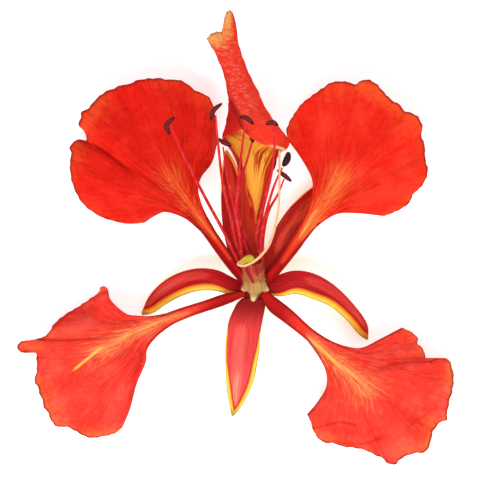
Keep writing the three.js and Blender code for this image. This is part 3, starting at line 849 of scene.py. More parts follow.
def steady_frames(centres: Array) -> tuple[Array, Array, Array]:
    """Finds a steady frame along a chain of points.

    Args:
        centres: Points, one per row.

    Returns:
        Tangents and two directions square to them and to each other, one per row.
    """
    tangents = np.gradient(centres, axis=0)
    tangents /= np.linalg.norm(tangents, axis=1, keepdims=True)
    start = np.cross(tangents[0], [0.0, 0.0, 1.0])
    if np.linalg.norm(start) < 1e-3:
        start = np.array([1.0, 0.0, 0.0])
    sides = [start / np.linalg.norm(start)]
    for tangent in tangents[1:]:
        side = sides[-1] - np.dot(sides[-1], tangent) * tangent
        sides.append(side / np.linalg.norm(side))
    first = np.array(sides)
    return tangents, first, np.cross(tangents, first)


def rings_round(centres: Array, reach: Array, turns: Array, across: Array, beside: Array) -> Array:
    """Lays a ring of points round each point of a chain.

    Args:
        centres: Middles of the rings, one per row.
        reach: Distance of each point from its ring's middle, (rings, sides) or (rings, 1).
        turns: Angles of the points round their ring.
        across: Direction of the angle 0, one per ring or one for all.
        beside: Direction of a quarter turn, in the same way.

    Returns:
        Points of shape (rings, sides, 3).
    """
    return centres[:, None] + reach[..., None] * (
        np.cos(turns)[None, :, None] * across[:, None] + np.sin(turns)[None, :, None] * beside[:, None])


def seat(piece: Object, slot: str, *nodes: str) -> None:
    """Lets a piece ride on the flower.

    Args:
        piece: Piece, already at its place.
        slot: Material slot of the CAD parts that it shows; not used.
        *nodes: CAD parts that it replaces, if any.
    """
    if nodes:
        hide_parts(*nodes)
    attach(piece, ROOT)
    LOG.info("%s: %d faces", piece.name, len(piece.data.polygons))


# Petals

@dataclass(frozen=True)
class Fold:
    """A pleat in a blade: the side left of its course lies over the other; shade is painted on the crease and
    below.
    """

    course: tuple[Point2, ...]
    lift: float
    reach: float = 5.0
    # How dark the pleat's painted shade is
    dark: float = 0.8
    crease: float = 0.5
    fades_from: float = 0.45


@dataclass(frozen=True)
class Streak:
    """A streak along a course: its half-width in millimetres and how strongly it shows."""

    course: tuple[Point2, ...]
    width: float
    strength: float = 1.0


@dataclass(frozen=True)
class Midvein:
    """Middle vein of a blade, with the orange glow round it and the barbs that leave it like a feather's."""

    course: tuple[Point2, ...]
    reach: float
    glow: float
    barbs: float
    slant: float = 1.9


def nearness(xy: Array, streaks: Sequence[Streak], tapered: bool = False) -> Array:
    """How strongly any of the streaks shows at plan points.

    Args:
        xy: Points of shape (..., 2), in millimetres.
        streaks: Streaks to follow.
        tapered: Whether a streak thins out towards its two ends.

    Returns:
        Strength of the strongest streak at each point.
    """
    total = np.zeros(xy.shape[:-1])
    for streak in streaks:
        _, gap, run = line_distance(xy, streak.course)
        width, strength = streak.width, streak.strength
        if tapered:
            length = PlanCurve(streak.course).length
            ends = between(run, (0.0, 0.25 * length), (0.65 * length, length))
            width, strength = width * (0.35 + 0.65 * ends), strength * ends
        total = np.maximum(total, strength * np.exp(-((gap / width) ** 2)))
    return total


# How many times the band by a blade's rim goes into the blade's length
RIM_BANDS = 75


def on_rim(u: Array, v: Array, bands: int) -> Array:
    """1 on the very rim of a blade, 0 beyond a band that goes into its width so many times."""
    return 1 - np.clip(np.minimum(np.minimum(u, 1 - u) * bands, (1 - v) * RIM_BANDS), 0, 1)


@dataclass
class Petal:
    """One clawed petal: a channelled claw that opens into a thin, ruffled blade.

    Sizes are in millimetres. The claw takes claw_share of the rows, and the blade starts to open at opens_at
    of it. Rag is the depth of the teeth on the margin; dimples, frill and throat_ribs are those of the
    blade's dents, of the waves by its margin and of the ribs in its throat.
    """

    node: str
    skin: Finish
    first: tuple[Point2, ...]
    margin: tuple[Point2, ...]
    second: tuple[Point2, ...]
    throats: tuple[int, int]
    heights: tuple[float, ...]
    droop: float
    ruffle: float
    waves: float
    phase: float
    midvein: Midvein
    golds: tuple[Streak, ...] = ()
    shades: tuple[Streak, ...] = ()
    # Broad, soft painted shade on the blade
    painted_soft_shades: tuple[Streak, ...] = ()
    warms: tuple[Streak, ...] = ()
    folds: tuple[Fold, ...] = ()
    seed: int = 1
    dark_claw: tuple[float, float] = (0.5, 1.05)
    hem: float = 0.5
    claw_share: float = 0.42
    opens_at: float = 0.75
    rag: float = 0.14
    dimples: float = 0.3
    frill: float = 0.35
    throat_ribs: float = 0.22
    fold_shadow: float = 1.1
    side_rim: tuple[float, float] = (0.1, 0.45)
    side_bands: int = 60
    claw_channel: float = 0.45
    claw_thickness: float = 0.85
    blade_thickness: float = 0.42
    rim_thickness: float = 0.2
    columns: int = 170
    rows: int = 190

    def _side(self, curve: PlanCurve, throat: int, v: Array) -> Array:
        """Places one side's points.

        Args:
            curve: The side from the base to the margin.
            throat: Number of the knot where the claw ends.
            v: Shares 0 to 1 along the petal.

        Returns:
            Plan points, with the claw over the first share of v.
        """
        knot = curve.share_of_knot(throat)
        claw = v / self.claw_share * knot
        flare = knot + (v - self.claw_share) / (1 - self.claw_share) * (1 - knot)
        return curve.at(np.where(v < self.claw_share, claw, flare))

    def _plan(self, u: Array, v: Array) -> Array:
        """Places the grid in the plan.

        Args:
            u: Shares across, from the first side to the second.
            v: Shares along, from the base to the margin.

        Returns:
            Plan points of shape (rows, columns, 2).
        """
        first = self._side(PlanCurve(self.first), self.throats[0], v)
        second = self._side(PlanCurve(self.second), self.throats[1], v)
        margin = PlanCurve([self.first[-1], *self.margin, self.second[-1]], 24)
        start, end = np.array(self.first[-1]), np.array(self.second[-1])
        bulge = margin.at(u) - (start + (end - start) * u[..., None])
        start_open = self.opens_at * self.claw_share
        opened = np.maximum(0.0, (v - start_open) / (1 - start_open)) ** 1.6
        plan = first + (second - first) * u[..., None] + bulge * opened[..., None]
        inward = plan.mean(axis=(0, 1)) - plan
        inward /= np.maximum(np.linalg.norm(inward, axis=2, keepdims=True), 1e-6)
        ragged = self.rag * smoothstep(v, 0.9, 1.0) * (1 + waver(u * 34, self.seed + 5, 3))
        return plan + inward * ragged[..., None]

    def _fold(self, xy: Array, fold: Fold) -> tuple[Array, Array]:
        """Works out one pleat.

        Args:
            xy: Plan points of the grid.
            fold: The pleat.

        Returns:
            Height step in millimetres and painted shade 0 to 1 at each grid point.
        """
        offset, distance, place = line_distance(xy, fold.course)
        share = place / PlanCurve(fold.course).length
        fade = 1 - smoothstep(share, fold.fades_from, 1.0)
        step = np.tanh(offset / fold.crease) * np.exp(-distance / fold.reach)
        # Painted shadow on the side that lies under, and painted shade along the crease
        under = (offset < 0) * np.exp(-distance / self.fold_shadow)
        near = np.exp(-((distance / (0.9 * fold.crease)) ** 2))
        return fold.lift * fade * step, fold.dark * fade * np.maximum(0.85 * near, under)

    def _height(self, u: Array, v: Array) -> Array:
        """Works out the height of the middle surface without its pleats.

        Args:
            u: Shares across, from the first side to the second.
            v: Shares along, from the base to the margin.

        Returns:
            Heights in millimetres.
        """
        side = 2 * u - 1
        blade = smoothstep(v, 0.8 * self.claw_share, 1.0)
        claw = smoothstep(v, 0.0, 0.1) - smoothstep(v, 0.5 * self.claw_share, 0.75)
        z = along(self.heights, v) + (self.claw_channel * claw - self.droop * blade) * side ** 2
        z += self.ruffle * blade ** 3 * np.sin(self.waves * 2 * np.pi * u + self.phase)
        z += self.dimples * blade ** 2 * waver(u * 5 + 1.3 * v, self.seed, 2) * waver(v * 4, self.seed + 1, 2)
        z += self.frill * smoothstep(v, 0.84, 1.0) * waver(u * 14 + v, self.seed + 7, 3)
        throat = between(v, (0.3, 0.5), (0.6, 0.95))
        return z + self.throat_ribs * throat * waver(u * 8 + 0.3 * v, self.seed + 3, 3)

    def _marks(self, xy: Array, u: Array, v: Array) -> dict[str, Array]:
        """Works out the numbers that the skin's coats follow.

        Args:
            xy: Plan points of the grid.
            u: Shares across, from the first side to the second.
            v: Shares along, from the base to the margin.

        Returns:
            Mark names to their numbers at each grid point.
        """
        offset, distance, place = line_distance(xy, self.midvein.course)
        share = place / PlanCurve(self.midvein.course).length
        ends = smoothstep(place, -0.5, 2.5) * (1 - smoothstep(share, 0.7, 1.0))
        glow = ends * np.exp(-((distance / (self.midvein.reach * (0.2 + 0.8 * share))) ** 2))
        side = np.abs(2 * u - 1)
        gold, warm = nearness(xy, self.golds, tapered=True), nearness(xy, self.warms)
        claw = (1 - smoothstep(v / self.claw_share, *self.dark_claw)) * (1 - 0.8 * np.maximum(gold, warm))
        gap = np.minimum(u, 1 - u) * np.linalg.norm(xy[:, -1:] - xy[:, :1], axis=2)
        rim = np.maximum(on_rim(u, v, self.side_bands), 0.6 * (1 - smoothstep(gap, *self.side_rim)))
        uneven = np.clip(0.5 + 0.6 * waver(u * 3 + 0.4, self.seed + 13, 2), 0, 1)
        return {
            "throat": self.midvein.glow * glow,
            "feather": self.midvein.barbs * glow,
            "gold": gold,
            "shade": nearness(xy, self.shades),
            "painted_soft_shade": nearness(xy, self.painted_soft_shades),
            "warm": np.maximum(0.55 * smoothstep(v, 0.86, 1.0) * uneven, warm),
            "hem": (1 - smoothstep(gap, 0.05, self.hem)) * (1 - smoothstep(v, 0.5, 0.7)),
            "rim": rim * smoothstep(v, 0.3, 0.6),
            "claw": claw,
            "pleat": smoothstep(v, 0.25, 0.42) * (1 - 0.75 * smoothstep(v, 0.55, 0.9)),
            "ribs": smoothstep(v, 0.5, 0.8),
            "barb": (place - self.midvein.slant * (np.sqrt(distance ** 2 + 0.3) - 0.55)
                     + 4 * np.tanh(offset / 0.5)),
            "beside": offset,
        }

    def build(self) -> None:
        """Makes the petal's piece."""
        u, v = np.meshgrid(np.linspace(0, 1, self.columns), np.linspace(0, 1, self.rows))
        xy = self._plan(u, v)
        z = self._height(u, v)
        marks = self._marks(xy, u, v)
        for fold in self.folds:
            step, dark = self._fold(xy, fold)
            z += step
            marks["shade"] = np.maximum(marks["shade"], dark)
        thin = on_rim(u, v, self.side_bands)
        thinner = (self.blade_thickness - self.claw_thickness) * smoothstep(v, 0.2, 0.7)
        thickness = self.claw_thickness + thinner
        thickness = thickness + (self.rim_thickness - thickness) * thin ** 2 * smoothstep(v, 0.4, 0.6)
        parts = closed_sheet(np.dstack([xy, z]), thickness, u, v, marks)
        seat(make_piece(f"flower_{self.node}", parts, self.skin), "petal_scarlet", self.node)


@dataclass
class StandardPetal:
    """Upright petal: a golden trough up to its mouth, then rolled into a cone, right side over left.

    A station holds y, the left and right edge, the height of the floor, the rise of the section, how far the
    left and the right side turn round it in degrees, and how far y of either margin differs from the middle.
    Spiral is how much wider a full turn grows. Crinkles are the depths of the two sets of wrinkles and rag
    that of the teeth at the tip, in millimetres.
    """

    node: str = "petal_standard"
    skin: Finish = STANDARD_SKIN
    stations: tuple[tuple[float, ...], ...] = (
        (9.3, -0.9, 1.2, 9.3, 0.6, 55, 55, 0, 0), (14.5, -2.3, 1.1, 9.8, 1.0, 65, 65, 0, 0),
        (22.0, -3.2, 1.2, 10.6, 1.4, 70, 70, 0, 0), (31.0, -3.5, 2.7, 11.5, 1.9, 75, 75, 0, 0),
        (36.3, -4.0, 4.2, 11.7, 2.6, 80, 80, 0, 0), (40.5, -5.6, 6.2, 11.3, 4.2, 86, 92, 0, 0),
        (43.2, -7.8, 8.4, 10.9, 5.4, 96, 130, 0.6, -2.0), (45.4, -7.8, 7.2, 10.8, 6.2, 145, 165, 0.3, -2.6),
        (48.2, -6.9, 4.8, 11.0, 6.0, 178, 195, 0, -1.6), (52.2, -6.4, 2.2, 11.6, 5.0, 158, 215, 0, -0.4),
        (56.0, -6.9, 0.4, 12.2, 4.2, 122, 248, 0, 0), (60.0, -7.7, -1.6, 12.7, 3.7, 100, 260, 0, 0),
        (64.0, -9.3, -3.2, 13.1, 3.4, 95, 260, 0, 0), (67.2, -10.9, -4.3, 13.4, 3.0, 95, 255, 0, 0),
        (69.4, -11.9, -4.8, 13.6, 2.6, 95, 250, 0, 0),
    )
    spiral: float = 0.36
    tip_shares: tuple[float, ...] = (0, 0.09, 0.32, 0.5, 0.56, 0.62, 0.71, 0.82, 0.94, 1)
    tip_rises: tuple[float, ...] = (-0.4, 0.4, 1.2, 1.0, 3.1, 5.2, 6.2, 6.6, 4.8, 0.2)
    tip_from: float = 0.84
    wedge_y: tuple[float, ...] = (23.6, 26.2, 28.8, 31.2, 33.8, 36.2, 40.0, 44.2, 52.0)
    wedge_left: tuple[float, ...] = (0.0, -0.2, -0.8, -1.9, -2.5, -2.9, -4.8, -7.6, -9.0)
    wedge_right: tuple[float, ...] = (0.7, 1.1, 1.6, 2.1, 2.4, 2.8, 4.7, 7.5, 9.0)
    strands: tuple[Streak, ...] = (
        Streak(((-2.5, 34.0), (-2.2, 31.4), (-1.8, 28.8)), 0.3, 0.8),
        Streak(((-1.7, 30.4), (-1.2, 28.2), (-0.8, 26.0)), 0.3, 0.8),
        Streak(((0.1, 26.6), (0.3, 24.4), (0.4, 22.0)), 0.4, 0.8))
    dashes: tuple[Streak, ...] = (
        Streak(((-1.2, 27.8), (-0.9, 26.0), (-0.6, 23.2)), 0.5, 0.7),
        Streak(((-2.1, 32.4), (-1.4, 29.6), (-0.4, 27.2)), 0.3, 0.6),
        Streak(((1.0, 27.2), (0.9, 25.0), (0.7, 22.4)), 0.4, 0.6))
    crinkles: tuple[float, float] = (0.14, 0.1)
    rag: float = 0.42
    side_bands: int = 40
    thickness: float = 0.42
    columns: int = 170
    rows: int = 230
    seed: int = 5

    def _surface(self, u: Array, v: Array) -> tuple[Array, Array]:
        """Works out the middle surface.

        Args:
            u: Shares round the section, from the left margin to the right.
            v: Shares from the claw to the tip.

        Returns:
            The points, and the share of the width at which each of them lies.
        """
        y, left, right, floor, rise, turn_left, turn_right, ahead_left, ahead_right = (
            along([station[k] for station in self.stations], v) for k in range(9))
        turn_left, turn_right = np.radians(turn_left), np.radians(turn_right)
        angle = u * (turn_left + turn_right) - turn_left
        closed = smoothstep(turn_left + turn_right, math.pi, 2 * math.pi)
        grow = 1 + self.spiral * closed * angle / (2 * math.pi)
        sideways, upwards = grow * np.sin(angle), 1 - grow * np.cos(angle)
        low, high = sideways.min(axis=1, keepdims=True), sideways.max(axis=1, keepdims=True)
        share = (sideways - low) / (high - low)
        top = upwards.max(axis=1, keepdims=True)
        part = np.where(angle < 0, -angle / turn_left, angle / turn_right) ** 4
        y = y + np.where(angle < 0, ahead_left, ahead_right) * part
        y = y + smoothstep(v, self.tip_from, 1.0) * np.interp(share, self.tip_shares, self.tip_rises)
        crinkle = self.crinkles[0] * smoothstep(v, 0.4, 0.6) * waver(u * 9 + 3 * v, self.seed, 3)
        crinkle += self.crinkles[1] * smoothstep(v, 0.4, 0.6) * waver(u * 5 - 14 * v, self.seed + 1, 3)
        x = left + (right - left) * share + crinkle * np.sin(angle)
        z = floor + rise * upwards / top - crinkle * np.cos(angle)
        y = y + smoothstep(v, 0.95, 1.0) * self.rag * waver(u * 26, self.seed + 2, 4)
        return np.dstack([x, y, z]), share

    def build(self) -> None:
        """Makes the standard petal's piece."""
        u, v = np.meshgrid(np.linspace(0, 1, self.columns), np.linspace(0, 1, self.rows))
        middle, share = self._surface(u, v)
        x, y = middle[..., 0], middle[..., 1]
        left = np.interp(y, self.wedge_y, self.wedge_left)
        right = np.interp(y, self.wedge_y, self.wedge_right)
        wedge = smoothstep(x - left, -0.2, 0.8) * smoothstep(right - x, -0.2, 0.6) * smoothstep(y, 22.5, 27.0)
        thin = on_rim(u, v, self.side_bands)
        # Painted shade along the edge of the right margin, where it lies over the left side
        crease = smoothstep(u, 0.95, 1.0) * between(y, (44.0, 46.0), (52.0, 57.0))
        xy, high_up = middle[..., :2], smoothstep(y, 32.5, 38.0)
        marks = {
            "wedge": wedge,
            "strands": nearness(xy, self.strands, tapered=True),
            # Painted light: where the skin glows to lift its shade, most in the golden wedge
            "lit": (0.4 + 0.45 * wedge + 0.15 * wedge * high_up) * (1 - smoothstep(y, 44.0, 50.0)),
            "bars": wedge * (0.15 + 0.85 * high_up) * (0.5 + 0.5 * smoothstep(share, 0.35, 0.6)),
            "fray": wedge * (1 - smoothstep(np.minimum(x - left, right - x), 0.2, 1.5)),
            "pale": smoothstep(y, 45.0, 53.0) * between(share, (0.02, 0.2), (0.6, 0.95)),
            # Painted shade on the left side, under the right side's flap
            "side": between(y, (43.5, 45.5), (50.0, 58.0)) * (1 - smoothstep(share, 0.1, 0.4)),
            "tip": smoothstep(v, 0.82, 1.02) * (1 - 0.8 * smoothstep(share, 0.7, 0.95)),
            "lip": smoothstep(u, 0.955, 0.985) * between(v, (0.33, 0.38), (0.44, 0.5)),
            # Painted shade low on the claw and along the right margin's edge, and the dark dashes
            "shade": np.maximum.reduce([0.3 * (1 - smoothstep(y, 15.0, 24.0)), 0.8 * crease,
                                        nearness(xy, self.dashes, tapered=True)]),
            "rim": thin * smoothstep(v, 0.8, 0.9),
        }
        parts = closed_sheet(middle, self.thickness * (1 - 0.5 * thin), u, v, marks)
        seat(make_piece(f"flower_{self.node}", parts, self.skin), "petal_standard", self.node)


@dataclass
class Sepal:
    """One bent-back sepal, spanned between its two edges from the cup to its tip.

    Each margin holds how wide its yellow band is in millimetres and the share of the length it starts at. The
    hem is the least width of both. Tilt is how much lower the second edge lies than the first, channel how
    far the edges stand over the middle, and ripple the depth of the skin's waves.
    """

    node: str
    skin: Finish
    first: tuple[Point2, ...]
    second: tuple[Point2, ...]
    heights: tuple[float, ...]
    tilt: float = 0.0
    channel: float = 0.5
    margin_first: tuple[float, float] = (0.1, 1.0)
    margin_second: tuple[float, float] = (0.2, 1.0)
    hem: float = 0.0
    light_from: float = 0.3
    light_side: float = 0.0
    sheen_from: float = 0.55
    sheen: float = 0.4
    sheen_width: float = 0.34
    # Strength of the painted shade near the cup
    painted_soft_shade: float = 0.6
    ripple: float = 0.03
    thickness: float = 1.0
    tip_thickness: float = 0.6
    columns: int = 44
    rows: int = 130
    seed: int = 3

    def build(self) -> None:
        """Makes the sepal's piece."""
        u, v = np.meshgrid(np.linspace(0, 1, self.columns), np.linspace(0, 1, self.rows))
        first, second = PlanCurve(self.first).at(v), PlanCurve(self.second).at(v)
        xy = first + (second - first) * u[..., None]
        side = 2 * u - 1
        belly = np.sin(np.pi * np.minimum(1, 0.12 + 0.88 * v))
        z = along(self.heights, v) - 0.5 * self.tilt * belly * side + self.channel * belly * side ** 2
        z += self.ripple * belly * waver(v * 6 + 0.5 * side, self.seed, 3)
        width = np.linalg.norm(second - first, axis=2)
        edge = np.zeros_like(u)
        for gap, (breadth, start) in ((u * width, self.margin_first), ((1 - u) * width, self.margin_second)):
            grown = np.maximum(breadth * smoothstep(v, start - 0.2, start + 0.2),
                               self.hem * smoothstep(v, 0.15, 0.35))
            inside = np.clip(1 - gap / np.maximum(grown, 1e-3), 0, 1)
            edge = np.maximum(edge, inside * smoothstep(grown, 0.1, 0.4))
        crown = np.exp(-(((side - self.light_side) / 0.5) ** 2))
        sheen = np.exp(-(((side - self.light_side) / self.sheen_width) ** 2))
        sheen = sheen * smoothstep(v, self.sheen_from, self.sheen_from + 0.3)
        rim = 1 - np.clip(np.minimum(u, 1 - u) * 9, 0, 1)
        thickness = self.thickness + (self.tip_thickness - self.thickness) * v ** 3
        marks = {
            "edge": edge,
            "green": edge * smoothstep(v, 0.85, 1.0),
            "light": crown * smoothstep(v, self.light_from, self.light_from + 0.2) * (1 - edge),
            "sheen": self.sheen * sheen * (1 - edge) * (1 - smoothstep(v, 0.85, 1.0)),
            "painted_soft_shade": self.painted_soft_shade * (1 - smoothstep(v, 0.0, 0.35)),
        }
        parts = closed_sheet(np.dstack([xy, z]), thickness * (1 - 0.6 * rim ** 2), u, v, marks)
        seat(make_piece(f"flower_{self.node}", parts, self.skin), "sepal_red", self.node)


